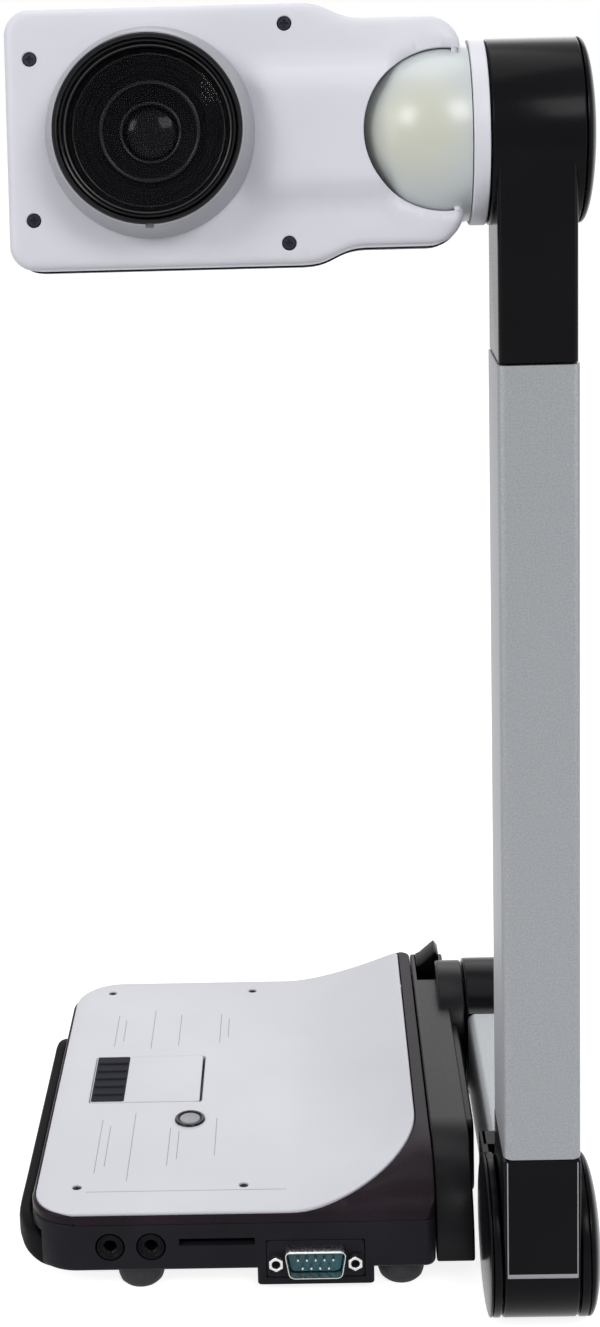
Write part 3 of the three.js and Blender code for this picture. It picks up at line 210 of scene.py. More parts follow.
def make_materials(colours):
    """All finishes, by the name that the operators use."""
    dull, sheen, glossy = ({"Specular_IOR_Level": level} for level in (0.07, 0.13, 0.2))
    MATERIALS.update({
        # Spark-eroded moulded ABS: an even skin with a broad, soft sheen
        "white": moulded_plastic("white_abs", colours.white_low, colours.white_high, 0.44, 0.6, 0.012),
        "black": moulded_plastic("black_abs", colours.black_low, colours.black_high, 0.42, 0.6, 0.02, **dull),
        # Polished mouldings: near black, with narrow clean highlights
        "gloss": moulded_plastic("black_satin_abs", "#08080B", "#0D0D11", 0.22, 0.5, 0.004, **dull),
        "satin": moulded_plastic("black_polished_abs", "#0F0F12", "#151519", 0.3, 0.5, 0.004, **sheen),
        "rim": moulded_plastic("plum_black_abs", colours.rim_low, colours.rim_high, 0.3, 0.6, 0.01, **dull),
        # Elastomers: matt, with hardly any highlight
        "soft": moulded_plastic("black_elastomer", "#101012", "#18181B", 0.62, 0.5, 0.03, **dull),
        "grip": moulded_plastic("soft_grip_elastomer", "#24242C", "#2C2C35", 0.6, 0.5, 0.03, **dull),
        "rubber": moulded_plastic("foot_rubber_compound", "#1B1B1E", "#26262A", 0.75, 0.8, 0.04),
        # Sprayed paint: a smooth silver grey without a metal's mirror
        "silver": moulded_plastic("silver_grey_paint", "#9C9DA4", "#A5A6AC", 0.42, 0.5, 0.006),
        # Moulded grey cap and grey ink: plain and flat
        "grey": moulded_plastic("grey_button_abs", "#8E8E95", "#9C9CA3", 0.4, 0.5, 0.01),
        "print": moulded_plastic("grey_print_ink", "#A4A4AE", "#B2B2BC", 0.6, 1.0, 0.0),
        # Moulded nylon: a dull blue green
        "teal": moulded_plastic("teal_nylon", "#1A4C52", "#256069", 0.45, 0.6, 0.01),
        # Black oxide on steel: slate grey with a faint metal sheen
        "slate": moulded_plastic(
            "black_oxide_steel", "#2B2A36", "#383744", 0.42, 0.5, 0.01, Metallic=0.3, **dull),
        # Solder mask: smooth dark green
        "board": moulded_plastic("green_solder_mask", "#174A30", "#1F5E3E", 0.35, 1.0, 0.01),
        # Bare metals: anodised, plated and drawn, which mirror the lights softly
        "aluminium": blasted_aluminium(),
        "nickel": bare_metal("bright_nickel_plate", "#B9BBBB", "#D9DADA", 0.22),
        "steel": bare_metal("drawn_steel", "#8E8E94", "#B2B2B8", 0.3),
        # Optics: a pale soft dome, and a front glass through which the dark steps show
        "dome": frosted_dome_material(),
        "glass": optical_glass(),
        # Matt paint that swallows light behind the glass
        "baffle": moulded_plastic("matt_black_lens_paint", "#040405", "#08080A", 0.5, 0.5, 0.01, **dull),
        # Dark coated and glossy lens parts, which show small sharp glints
        "rear_glass": moulded_plastic("dark_coated_glass", "#050508", "#08080E", 0.11, 0.6, 0.0, **glossy),
        "bead": moulded_plastic("bright_black_anodising", "#101014", "#18181D", 0.2, 0.6, 0.002),
        "lens_gloss": moulded_plastic(
            "gloss_black_lens_ring", "#08080A", "#0E0E12", 0.16, 0.6, 0.002, **glossy),
    })


def arc(cx, cy, radius, start, end, steps=8):
    """Points on an arc, angles in degrees."""
    return [
        (cx + radius * math.cos(math.radians(start + (end - start) * i / steps)),
         cy + radius * math.sin(math.radians(start + (end - start) * i / steps)))
        for i in range(steps + 1)
    ]


def rounded(x0, x1, y0, y1, radii, steps=10):
    """Rectangle outline with corner radii near-left, near-right, far-right, far-left."""
    a, b, c, d = radii
    return (arc(x0 + a, y0 + a, a, 180, 270, steps) + arc(x1 - b, y0 + b, b, 270, 360, steps)
            + arc(x1 - c, y1 - c, c, 0, 90, steps) + arc(x0 + d, y1 - d, d, 90, 180, steps))


def even(x0, x1, y0, y1, radius, steps=6):
    """Rectangle outline with four equal corner radii."""
    return rounded(x0, x1, y0, y1, (radius,) * 4, steps)


AXIS_ORDER = {
    "X": lambda a, b, t: (t, a, b),
    "Y": lambda a, b, t: (a, t, b),
    "Z": lambda a, b, t: (a, b, t),
}


def loft(rings, cap=True):
    """A skin through rings of equal point counts, closed at both ends if cap is set."""
    mesh = bmesh.new()
    rows = [[mesh.verts.new(point) for point in ring] for ring in rings]
    count = len(rows[0])
    for lower, upper in zip(rows, rows[1:]):
        for i in range(count):
            j = (i + 1) % count
            mesh.faces.new((lower[i], lower[j], upper[j], upper[i]))
    if cap:
        mesh.faces.new(rows[0])
        mesh.faces.new(rows[-1])
    bmesh.ops.remove_doubles(mesh, verts=mesh.verts, dist=0.0005)
    bmesh.ops.dissolve_degenerate(mesh, edges=mesh.edges, dist=0.0005)
    bmesh.ops.recalc_face_normals(mesh, faces=mesh.faces)
    return mesh


def prism(outline, axis, low, high):
    """An outline drawn out along an axis."""
    order = AXIS_ORDER[axis]
    return loft([[order(a, b, t) for a, b in outline] for t in (low, high)])


def soft_prism(outline_of, axis, low, high, edge, steps=4):
    """A prism with rounded end edges; outline_of(inset) gives the outline drawn in by inset."""
    order = AXIS_ORDER[axis]
    rings = []
    for end, sign in ((low, 1), (high, -1)):
        part = []
        for i in range(steps + 1):
            angle = math.radians(90 * i / steps)
            part.append((edge * (1 - math.sin(angle)), end + sign * edge * (1 - math.cos(angle))))
        rings += part if sign == 1 else part[::-1]
    return loft([[order(a, b, t) for a, b in outline_of(inset)] for inset, t in rings])


def lathe(profile, axis, centre, segments=96):
    """A profile of (radius, distance along axis) turned about an axis through centre."""
    order = AXIS_ORDER[axis]
    mesh = bmesh.new()
    rows = []
    for radius, t in profile:
        if radius < 1e-6:
            rows.append([mesh.verts.new(order(centre[0], centre[1], t))])
        else:
            rows.append([
                mesh.verts.new(order(centre[0] + radius * math.cos(math.tau * i / segments),
                                     centre[1] + radius * math.sin(math.tau * i / segments), t))
                for i in range(segments)
            ])
    for lower, upper in zip(rows, rows[1:]):
        for i in range(segments):
            j = (i + 1) % segments
            corners = [lower[i % len(lower)], lower[j % len(lower)],
                       upper[j % len(upper)], upper[i % len(upper)]]
            unique = list(dict.fromkeys(corners))
            if len(unique) > 2:
                mesh.faces.new(unique)
    bmesh.ops.remove_doubles(mesh, verts=mesh.verts, dist=0.0001)
    bmesh.ops.recalc_face_normals(mesh, faces=mesh.faces)
    return mesh


def disc_profile(radius, low, high, edge, steps=4):
    """Profile of a disc with rounded rims."""
    rim = [(radius - edge + edge * math.sin(math.radians(90 * i / steps)),
            low + edge * (1 - math.cos(math.radians(90 * i / steps)))) for i in range(steps + 1)]
    top = [(r, high - (t - low)) for r, t in reversed(rim)]
    return [(0, low)] + rim + top + [(0, high)]


def inside(point, loop):
    """Whether a point is inside a closed outline."""
    x, y = point
    hit = False
    for (x0, y0), (x1, y1) in zip(loop, loop[1:] + loop[:1]):
        if (y0 > y) != (y1 > y) and x < (x1 - x0) * (y - y0) / (y1 - y0) + x0:
            hit = not hit
    return hit


def distance_to(point, loop):
    """Distance to a closed outline and the nearest point on it."""
    best, spot = 1e9, None
    p = Vector(point)
    for a, b in zip(loop, loop[1:] + loop[:1]):
        a, b = Vector(a), Vector(b)
        span = (b - a).length_squared
        share = 0 if span == 0 else max(0, min(1, (p - a).dot(b - a) / span))
        near = a + (b - a) * share
        away = (p - near).length
        if away < best:
            best, spot = away, near
    return best, spot


def sheet(outer, holes, height, axis):
    """A curved sheet inside an outline, with holes; height(a, b) gives its place along the axis."""
    loops = [list(dict.fromkeys((round(a, 4), round(b, 4)) for a, b in loop)) for loop in [outer, *holes]]
    points, edges = [], []
    for loop in loops:
        first = len(points)
        points += loop
        edges += [(first + i, first + (i + 1) % len(loop)) for i in range(len(loop))]
    low_a, high_a = min(a for a, _ in loops[0]), max(a for a, _ in loops[0])
    low_b, high_b = min(b for _, b in loops[0]), max(b for _, b in loops[0])
    rows = int((high_b - low_b) / SPACING)
    columns = int((high_a - low_a) / SPACING)
    for j in range(1, rows):
        for i in range(1, columns):
            shift = 0.5 if j % 2 else 0.0
            p = (low_a + (high_a - low_a) * (i + shift) / columns, low_b + (high_b - low_b) * j / rows)
            if inside(p, loops[0]) and not any(inside(p, hole) for hole in loops[1:]):
                if min(distance_to(p, loop)[0] for loop in loops) > SPACING * 0.45:
                    points.append(p)
    verts, _, faces, *_ = geometry.delaunay_2d_cdt([Vector(p) for p in points], edges, [], 0, 1e-5)
    order = AXIS_ORDER[axis]
    mesh = bmesh.new()
    made = [mesh.verts.new(order(v.x, v.y, height(v.x, v.y))) for v in verts]
    for face in faces:
        middle = sum((verts[i] for i in face), Vector((0, 0))) / len(face)
        if inside(middle, loops[0]) and not any(inside(middle, hole) for hole in loops[1:]):
            mesh.faces.new([made[i] for i in face])
    for vert in [v for v in mesh.verts if not v.link_faces]:
        mesh.verts.remove(vert)
    return mesh


def face_out(mesh, toward):
    """Turns an open skin so that its faces look along toward on average."""
    bmesh.ops.recalc_face_normals(mesh, faces=mesh.faces)
    total = sum((f.normal * f.calc_area() for f in mesh.faces), Vector((0, 0, 0)))
    if total.dot(Vector(toward)) < 0:
        bmesh.ops.reverse_faces(mesh, faces=mesh.faces)


def as_object(mesh, name):
    """A mesh object in layout millimetres."""
    data = bpy.data.meshes.new(name)
    mesh.to_mesh(data)
    mesh.free()
    piece = bpy.data.objects.new(name, data)
    bpy.context.scene.collection.objects.link(piece)
    return piece


def applied(piece, *modifiers):
    """Adds modifiers given as (kind, settings), applies them and drops the helper objects."""
    helpers = []
    for kind, settings in modifiers:
        modifier = piece.modifiers.new(kind.lower(), kind)
        for key, value in settings.items():
            setattr(modifier, key, value)
            if key == "object":
                helpers.append(value)
    graph = bpy.context.evaluated_depsgraph_get()
    graph.update()
    old = piece.data
    piece.data = bpy.data.meshes.new_from_object(piece.evaluated_get(graph))
    piece.modifiers.clear()
    bpy.data.meshes.remove(old)
    for helper in helpers:
        bpy.data.objects.remove(helper)
    return piece


def combined(mesh, steps):
    """Booleans in order; steps holds (operation, mesh) pairs."""
    body = as_object(mesh, "work_body")
    for operation, other in steps:
        tool = as_object(other, "work_tool")
        applied(body, ("BOOLEAN", {"operation": operation, "solver": "EXACT", "object": tool}))
    out = bmesh.new()
    out.from_mesh(body.data)
    bpy.data.objects.remove(body)
    bmesh.ops.remove_doubles(out, verts=out.verts, dist=0.001)
    return out


def fused(*meshes):
    """Several separate bodies in one mesh."""
    out = bmesh.new()
    for mesh in meshes:
        data = bpy.data.meshes.new("work_mesh")
        mesh.to_mesh(data)
        mesh.free()
        out.from_mesh(data)
        bpy.data.meshes.remove(data)
    return out


def finish_piece(mesh, name, finish, body, replaces=(), place=LAYOUT, sharp=32.0, modifiers=()):
    """Turns a layout mesh into a placed, shaded piece that rides on a body and replaces CAD nodes."""
    piece = as_object(mesh, name)
    if modifiers:
        applied(piece, *modifiers)
    piece.data.transform(place)
    piece.data.materials.clear()
    piece.data.materials.append(MATERIALS[finish])
    piece.data.shade_smooth()
    piece.data.set_sharp_from_angle(angle=math.radians(sharp))
    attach(piece, body)
    if replaces:
        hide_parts(*replaces)


def bevel(width):
    """Settings of a bevel on sharp edges."""
    return ("BEVEL", {
        "width": width, "segments": 3, "limit_method": "ANGLE", "angle_limit": math.radians(40.0),
        "use_clamp_overlap": True, "miter_outer": "MITER_ARC",
    })


def smooth(share):
    """Eases a share from 0 to 1."""
    share = max(0.0, min(1.0, share))
    return share * share * (3 - 2 * share)


def wave(x):
    """Height of the deck at x."""
    share = max(0.0, min(1.0, (x - WAVE_START) / (WAVE_END - WAVE_START)))
    return DECK_HEIGHT + (CREST_HEIGHT - DECK_HEIGHT) * share ** WAVE_POWER


def case_plan(inset):
    """Outline of the case from above."""
    return rounded(CASE_LEFT + inset, CASE_RIGHT - inset, inset, CASE_DEPTH - inset,
                   [radius - inset for radius in CASE_CORNERS], 16)


def deck_plan(inset):
    """Outline of the white deck from above."""
    return rounded(CASE_LEFT + DECK_INSET + inset, WAVE_END - inset, DECK_INSET + inset,
                   CASE_DEPTH - DECK_INSET - inset, [radius - inset for radius in DECK_CORNERS], 24)


def dense(plan, insets):
    """Rings of a plan at several insets, with long edges cut so that all rings match point for point."""
    first = plan(insets[0])
    cuts = [max(1, math.ceil(math.dist(a, b) / EDGE_STEP)) for a, b in zip(first, first[1:] + first[:1])]
    rings = []
    for inset in insets:
        loop = plan(inset)
        rings.append([
            (a[0] + (b[0] - a[0]) * i / cut, a[1] + (b[1] - a[1]) * i / cut)
            for a, b, cut in zip(loop, loop[1:] + loop[:1], cuts) for i in range(cut)
        ])
    return rings


def rounding(edge, steps=4):
    """Pairs of inset and drop round an edge, from the flat to the wall."""
    angles = [math.radians(90 * i / steps) for i in range(steps + 1)]
    return [(edge * (1 - math.sin(angle)), edge * (1 - math.cos(angle))) for angle in angles]


def skirt(mesh, rings):
    """Adds rows of faces between rings of equal point counts."""
    rows = [[mesh.verts.new(point) for point in ring] for ring in rings]
    count = len(rows[0])
    for lower, upper in zip(rows, rows[1:]):
        for i in range(count):
            mesh.faces.new((lower[i], lower[(i + 1) % count], upper[(i + 1) % count], upper[i]))


def circle(x, y, radius, steps):
    """Closed outline of a circle."""
    return arc(x, y, radius, 0, 360, steps)[:-1]


def formed_plate(plan, holes, height, axis, edge, depth, sign, floor=None, shallow=()):
    """A plate with a shaped face, rounded rims and walls; sign is the way from the face into the plate.
    The outer wall ends at floor if it is given, and the walls of shallow holes are half as deep."""
    order = AXIS_ORDER[axis]
    pairs = rounding(edge)
    rings = dense(plan, [inset for inset, _ in pairs])
    mesh = sheet(rings[0], [hole(HOLE_EDGE) for hole in holes], height, axis)
    skirt_rings = [[order(a, b, height(a, b) + sign * drop) for a, b in ring]
                   for ring, (_, drop) in zip(rings, pairs)]
    skirt_rings.append([order(a, b, (height(a, b) + sign * depth) if floor is None else floor)
                        for a, b in rings[-1]])
    skirt(mesh, skirt_rings)
    for hole in holes:
        wall = depth / 2 if hole in shallow else depth
        skirt(mesh, [
            [order(a, b, height(a, b)) for a, b in hole(HOLE_EDGE)],
            [order(a, b, height(a, b) + sign * HOLE_EDGE) for a, b in hole(0)],
            [order(a, b, height(a, b) + sign * wall) for a, b in hole(0)],
        ])
    bmesh.ops.remove_doubles(mesh, verts=mesh.verts, dist=0.002)
    face_out(mesh, order(0, 0, -sign))
    return mesh


def near_round(y, floor, top):
    """Height of the rounded near end of the rim at y."""
    share = max(0.0, min(1.0, (BAR_ROUND - y) / BAR_ROUND))
    return floor + (top - floor) * math.sqrt(max(0.0, 1 - share * share))


def soft_min(a, b, width=3.0):
    """The smaller of two heights, blended where they are close."""
    overlap = max(0.0, width - abs(a - b)) / width
    return min(a, b) - overlap * overlap * width / 4


OUTER_PLAN = [(round(a, 3), round(b, 3)) for a, b in case_plan(0)]


def rim_height(x, y):
    """Face of the rim: a bevel on the near side, a crest beside the bar, below the deck's edge elsewhere."""
    crown = soft_min(wave(x) - 0.2, near_round(y, LOWER_TOP + 0.4, CREST_HEIGHT - 0.3))
    sloped = min(crown, LOWER_TOP + 2.6 + 0.9 * distance_to((x, y), OUTER_PLAN)[0])
    near = smooth((30 - y) / 20)
    edge = sloped * near + (wave(x) - 1.9) * (1 - near)
    share = smooth((x + 5) / 25) if y < CASE_DEPTH / 2 else smooth((x - 40) / 6)
    return edge * (1 - share) + crown * share


def box_mesh(x0, x1, y0, y1, z0, z1):
    """A plain box."""
    return prism([(x0, y0), (x1, y0), (x1, y1), (x0, y1)], "Z", z0, z1)


def rod(axis, radius, a, b, low, high, edge=0.0, segments=64):
    """A rod along an axis; a and b are its centre in the other two directions, in their order."""
    square = [(0, low), (radius, low), (radius, high), (0, high)]
    return lathe(disc_profile(radius, low, high, edge) if edge else square, axis, (a, b), segments)


def dome_disc(radius, foot, rim, dome, a, b, steps=14):
    """A cap on an X axis with an elliptical face; rim and dome are below zero where it faces -X."""
    profile = [(0, foot), (radius, foot), (radius, foot + rim)]
    profile += [(radius * math.cos(math.radians(90 * i / steps)),
                 foot + (rim + dome * math.sin(math.radians(90 * i / steps)))) for i in range(1, steps + 1)]
    return lathe(profile, "X", (a, b), 96)


def repeat_tree():
    """Geometry nodes that set one item on a grid of points."""
    tree = bpy.data.node_groups.new("repeat_on_grid", "GeometryNodeTree")
    for name, kind in (
        ("Item", "NodeSocketObject"), ("Columns", "NodeSocketInt"), ("Rows", "NodeSocketInt"),
        ("Column Pitch", "NodeSocketFloat"), ("Row Pitch", "NodeSocketFloat"),
        ("Finish", "NodeSocketMaterial"),
    ):
        tree.interface.new_socket(name, in_out="INPUT", socket_type=kind)
    tree.interface.new_socket("Geometry", in_out="OUTPUT", socket_type="NodeSocketGeometry")
    given = add_node(tree, "NodeGroupInput").outputs
    spans = []
    for count, pitch in (("Columns", "Column Pitch"), ("Rows", "Row Pitch")):
        steps = add_node(tree, "ShaderNodeMath", {0: given[count], 1: 1.0}, operation="SUBTRACT")
        span = add_node(tree, "ShaderNodeMath", {0: steps.outputs[0], 1: given[pitch]}, operation="MULTIPLY")
        spans.append(span.outputs[0])
    grid = add_node(tree, "GeometryNodeMeshGrid", {
        "Size X": spans[0], "Size Y": spans[1], "Vertices X": given["Columns"], "Vertices Y": given["Rows"],
    })
    item = add_node(tree, "GeometryNodeObjectInfo", {"Object": given["Item"]})
    placed = add_node(tree, "GeometryNodeInstanceOnPoints", {
        "Points": grid.outputs["Mesh"], "Instance": item.outputs["Geometry"],
    })
    real = add_node(tree, "GeometryNodeRealizeInstances", {"Geometry": placed.outputs["Instances"]})
    done = add_node(tree, "GeometryNodeSetMaterial", {
        "Geometry": real.outputs["Geometry"], "Material": given["Finish"],
    })
    add_node(tree, "NodeGroupOutput", {"Geometry": done.outputs["Geometry"]})
    return tree


def repeated(item, finish, columns, rows, column_pitch=1.0, row_pitch=1.0, move=(0, 0, 0), turn=None):
    """One mesh repeated on a grid in XY, then turned and moved, in layout millimetres."""
    tree = bpy.data.node_groups.get("repeat_on_grid") or repeat_tree()
    source = as_object(item, "work_item")
    host = as_object(bmesh.new(), "work_host")
    modifier = host.modifiers.new("repeat", "NODES")
    modifier.node_group = tree
    sockets = {s.name: s.identifier for s in tree.interface.items_tree if s.in_out == "INPUT"}
    for key, value in (("Item", source), ("Columns", columns), ("Rows", rows), ("Column Pitch", column_pitch),
                       ("Row Pitch", row_pitch), ("Finish", MATERIALS[finish])):
        modifier[sockets[key]] = value
    host.update_tag()
    bpy.context.view_layer.update()
    data = bpy.data.meshes.new_from_object(host.evaluated_get(bpy.context.evaluated_depsgraph_get()))
    out = bmesh.new()
    out.from_mesh(data)
    bpy.data.meshes.remove(data)
    for helper in (source, host):
        bpy.data.objects.remove(helper)
    spin = Matrix.Rotation(math.radians(turn[0]), 4, turn[1]) if turn else Matrix.Identity(4)
    bmesh.ops.transform(out, matrix=Matrix.Translation(move) @ spin, verts=out.verts)
    return out


def paint(finish, *nodes):
    """Gives CAD nodes that stay shown their finish."""
    for name in nodes:
        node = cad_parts[name]
        node.data.materials.clear()
        node.data.materials.append(MATERIALS[finish])


# How far a cutter runs past the face it opens
CUT_PAST = 2

# Ports on the near face: centres, then half widths and half heights of the openings
JACKS, JACK_BORE, PORT_Z = (-53.6, -40.6), 4.75, 17.0
SLOT_X, SLOT_Z, SLOT_HALF = -19.7, 18.4, (12, 1.2)
SERIAL_X, SERIAL_Z, SCREW_REACH = 11.35, 12.1, 12.5
FLANGE_ROOM, INSERT_ROOM = (15.7, 6.55), (10.2, 4.9)
BUMP_HALF, BUMP_DEPTH, BUMP_LOW, BUMP_TOP = 18.5, 14, 3.0, 20.0
INLET_X, INLET_BORE, INLET_DEPTH = -50.0, 4.8, 10

# Legs of the carrying handle: middle in Y and reach of the bend
HANDLE_LEGS = ((7.5, 15.8), (137.0, 20.9))
BEND_X, HANDLE_BOTTOM, HANDLE_TOP, HANDLE_BAR = -64.0, 6.0, 20.0, 4.4
LEG_TALL, LEG_END, LEG_ROOM_HALF = 4.6, -55.5, 2.3

# Lid on the deck (near-left and far-right corners as X, X, Y, Y) and the well under it
LID = (-66.6, -27.2, 69.4, 102.3)
WELL_WALL, WELL_ROOM, WELL_LOW, WELL_FLOOR, WELL_TOP = 0.8, 20.6, 20.9, 21.3, 26.5
BUTTON, BUTTON_HOLE = (-30.7, 57.3), 3.9
DECK_SCREWS, DECK_SCREW_HOLE = ((-65.2, -11.3), (16.0, 153.0)), 1.5

# Depth of the shaped plates
RIM_DEPTH, DECK_DEPTH, COVER_DEPTH = 2.2, 2.2, 2.4


def port_room(x, z, half, depth):
    """Cutter for a rectangular opening in the near face."""
    return box_mesh(x - half[0], x + half[0], -CUT_PAST, depth, z - half[1], z + half[1])


def leg_room(y, sweep):
    """Cutter for the channel of one leg of the handle."""
    wide, tall = sweep - HANDLE_BAR - GAP, HANDLE_TOP - HANDLE_BOTTOM - LEG_TALL - GAP
    bend = [(BEND_X + wide * math.cos(math.radians(180 + 90 * i / 12)),
             HANDLE_TOP + tall * math.sin(math.radians(180 + 90 * i / 12))) for i in range(13)]
    side, floor, inner = CASE_LEFT - 3, 5, LEG_END + GAP
    room = [(side, floor), (inner, floor), (inner, bend[-1][1])] + bend[::-1]
    room += [(BEND_X - wide, HANDLE_TOP + GAP), (side, HANDLE_TOP + GAP)]
    return prism(room, "Y", y - LEG_ROOM_HALF, y + LEG_ROOM_HALF)


def build_case(settings):
    """Lower case with its port openings, serial bump, lid well and the channels of the handle legs."""
    shell = soft_prism(case_plan, "Z", FOOT_HEIGHT, LOWER_TOP, settings.case_edge)

    def bump_plan(inset):
        return even(SERIAL_X - BUMP_HALF + inset, SERIAL_X + BUMP_HALF - inset,
                    inset, BUMP_DEPTH - inset, 1.2)
    x0, x1, y0, y1 = LID
    cutters = [rod("Y", JACK_BORE, x, PORT_Z, -CUT_PAST, 6) for x in JACKS]
    cutters += [
        port_room(SLOT_X, SLOT_Z, SLOT_HALF, 20),
        port_room(SERIAL_X, SERIAL_Z, FLANGE_ROOM, 1.1),
        port_room(SERIAL_X, SERIAL_Z, INSERT_ROOM, 9),
        rod("Y", INLET_BORE, INLET_X, PORT_Z, CASE_DEPTH - INLET_DEPTH, CASE_DEPTH + CUT_PAST),
        box_mesh(x0 - WELL_WALL, x1 + WELL_WALL, y0 - WELL_WALL, y1 + WELL_WALL, WELL_ROOM, LOWER_TOP + 1),
    ]
    cutters += [leg_room(y, sweep) for y, sweep in HANDLE_LEGS]
    steps = [("UNION", soft_prism(bump_plan, "Z", BUMP_LOW, BUMP_TOP, 0.6))]
    body = combined(shell, steps + [("DIFFERENCE", cutter) for cutter in cutters])
    finish_piece(body, "case_shell", "black", "base", ["lower_case"], sharp=34)


def build_rim():
    """Black rim that carries the deck and rises to a crest beside the bar."""
    def opening(grow):
        return dense(deck_plan, [0, -GAP - grow])[1][::-1]
    plate = formed_plate(case_plan, [opening], rim_height, "Z", 0.5, RIM_DEPTH, -1, floor=LOWER_TOP + GAP)
    finish_piece(plate, "rim_shell", "rim", "base", ["rim_frame"], sharp=38)


def lid_hole(grow):
    """Outline of the opening for the lid, wound as a hole."""
    return even(LID[0] - grow, LID[1] + grow, LID[2] - grow, LID[3] + grow, 1.2 + grow, 4)[::-1]


def round_hole(x, y, radius, steps):
    """A round opening, as a function of how far it is widened."""
    return lambda grow: circle(x, y, radius + grow, steps)[::-1]


def build_deck(settings):
    """White wave-shaped deck with its holes and the well under the lid."""
    holes = [lid_hole, round_hole(*BUTTON, BUTTON_HOLE, 32)]
    holes += [round_hole(x, y, DECK_SCREW_HOLE, 20) for x in DECK_SCREWS[0] for y in DECK_SCREWS[1]]
    plate = formed_plate(deck_plan, holes, lambda x, y: wave(x), "Z", settings.deck_edge, DECK_DEPTH, -1)
    well = loft([[(x, y, z) for x, y in lid_hole(0)] for z in (WELL_TOP, WELL_FLOOR)], cap=False)
    floor = prism(lid_hole(0.2), "Z", WELL_LOW, WELL_FLOOR)
    finish_piece(fused(plate, well, floor), "deck_shell", "white", "base", ["deck"], sharp=40)


# Bar: radius of its far top corner and of the shoulder boss, its low side step, and the latch with its room
BAR_CORNER, BOSS_RADIUS = 5, 23.2
STEP_NEAR, STEP_FAR, STEP_TOP, STEP_RIGHT = 40, 146, 35, 64.8
LATCH_NEAR, LATCH_FAR = 148, 159
LATCH_ROOM = (51.3, 60.5, 136.5, 159.3, 34.6, 46)
LATCH_PROFILE = ((51.6, 34.9), (60.2, 34.9), (60.2, 43.6), (58.8, 45.5), (53.2, 40.6), (51.6, 39.9))


def build_bar(settings):
    """Bar housing with its rounded near end, side step, shoulder boss and latch slot."""
    def side(inset):
        tall = BAR_TOP - FOOT_HEIGHT - 2 * inset
        near = [(BAR_SETBACK + BAR_ROUND - (BAR_ROUND - inset) * math.cos(math.radians(90 * i / 24)),
                 FOOT_HEIGHT + inset + tall * math.sin(math.radians(90 * i / 24))) for i in range(25)]
        far = arc(CASE_DEPTH - BAR_CORNER, BAR_TOP - BAR_CORNER, BAR_CORNER - inset, 90, 0, 8)
        return near + far + [(CASE_DEPTH - inset, FOOT_HEIGHT + inset)]

    def step_side(inset):
        return even(STEP_NEAR + inset, STEP_FAR - inset, FOOT_HEIGHT + 1 + inset, STEP_TOP - inset, 3)
    body = combined(soft_prism(side, "X", CASE_RIGHT + GAP, BAR_RIGHT, settings.bar_edge), [
        ("UNION", soft_prism(step_side, "X", BAR_RIGHT - 2, STEP_RIGHT, 1.0)),
        ("UNION", rod("X", BOSS_RADIUS, SHOULDER_Y, HUB_Z, BAR_RIGHT - 4, TUBE_LEFT - GAP - 0.2, 0.8, 96)),
        ("DIFFERENCE", box_mesh(*LATCH_ROOM)),
    ])
    finish_piece(body, "bar_shell", "satin", "base", ["arm_housing"], sharp=34)
    latch = prism(LATCH_PROFILE, "Y", LATCH_NEAR, LATCH_FAR)
    finish_piece(latch, "latch_tab", "gloss", "latch", ["arm_latch"], modifiers=[bevel(0.6)])


# Feet: profile of radius and height, distance between left and right, their middle, and setback in Y
FOOT_PROFILE = ((0, 0), (4.5, 0.05), (5.9, 0.5), (6.9, 1.5), (7.4, 3.0), (7.5, 5), (7.5, 9.4), (0, 9.4))
FOOT_PITCH, FOOT_MIDDLE, FOOT_SETBACK = 83.3, -3.05, 10


def build_feet():
    """Four turned rubber feet."""
    foot = lathe(FOOT_PROFILE, "Z", (0, 0), 48)
    feet = repeated(foot, "rubber", 2, 2, FOOT_PITCH, CASE_DEPTH - 2 * FOOT_SETBACK,
                    (FOOT_MIDDLE, CASE_DEPTH / 2, 0))
    finish_piece(feet, "rubber_feet", "rubber", "base",
                 ["foot_near_left", "foot_near_right", "foot_far_left", "foot_far_right"], sharp=50)


# Screws: thickness of a head, and half length and half width of the cross as shares of the radius
SCREW_THICK, CROSS_LONG, CROSS_THIN = 1.2, 0.55, 0.14

# Radius, height of the top and depth of the cross
DECK_SCREW, HEAD_SCREW = (1.35, 28.1, 0.5), (1.85, HEAD_FRONT - 0.3, 0.6)


def cross_screw(radius, high, depth):
    """A screw head facing +Z with a cross recess."""
    head = rod("Z", radius, 0, 0, high - SCREW_THICK, high, 0.3, 40)
    wide, thin = radius * CROSS_LONG, radius * CROSS_THIN
    return combined(head, [
        ("DIFFERENCE", box_mesh(-wide, wide, -thin, thin, high - depth, high + 1)),
        ("DIFFERENCE", box_mesh(-thin, thin, -wide, wide, high - depth, high + 1)),
    ])


# Plain rules on the deck: X, then the two ends in Y
RULES = (
    (-60.5, 24, 58), (-57.5, 28, 54), (-49.5, 19, 62), (-37.0, 28, 52), (-34.0, 32, 50), (-21.5, 34, 58),
    (-61.0, 110, 134), (-58.0, 114, 130), (-47.5, 108, 138), (-37.5, 110, 134), (-22.5, 112, 134),
    (-19.5, 116, 130),
)
RULE_HALF, RULE_LOW, RULE_HIGH = 0.15, 28.45, 28.53
EDGE_RULE = (-62, 2.5, 12.8, 13.1)

# Lid: heights of its panel, pad and ribs, then sizes of pad and ribs from above, and the hinge bar
LID_LOW, LID_HIGH, PAD_LOW, PAD_HIGH, RIB_LOW, RIB_HIGH = 26.7, 28.6, 27.6, 28.75, 28.4, 29.3
PAD_EDGE, PAD_WIDE, RIB_MIDDLE, RIB_REACH, RIB_HALF = 0.6, 12.2, 6.4, 5.3, 0.75
HINGE_X, HINGE_Z, HINGE_RADIUS = -28.85, 27.3, 0.9

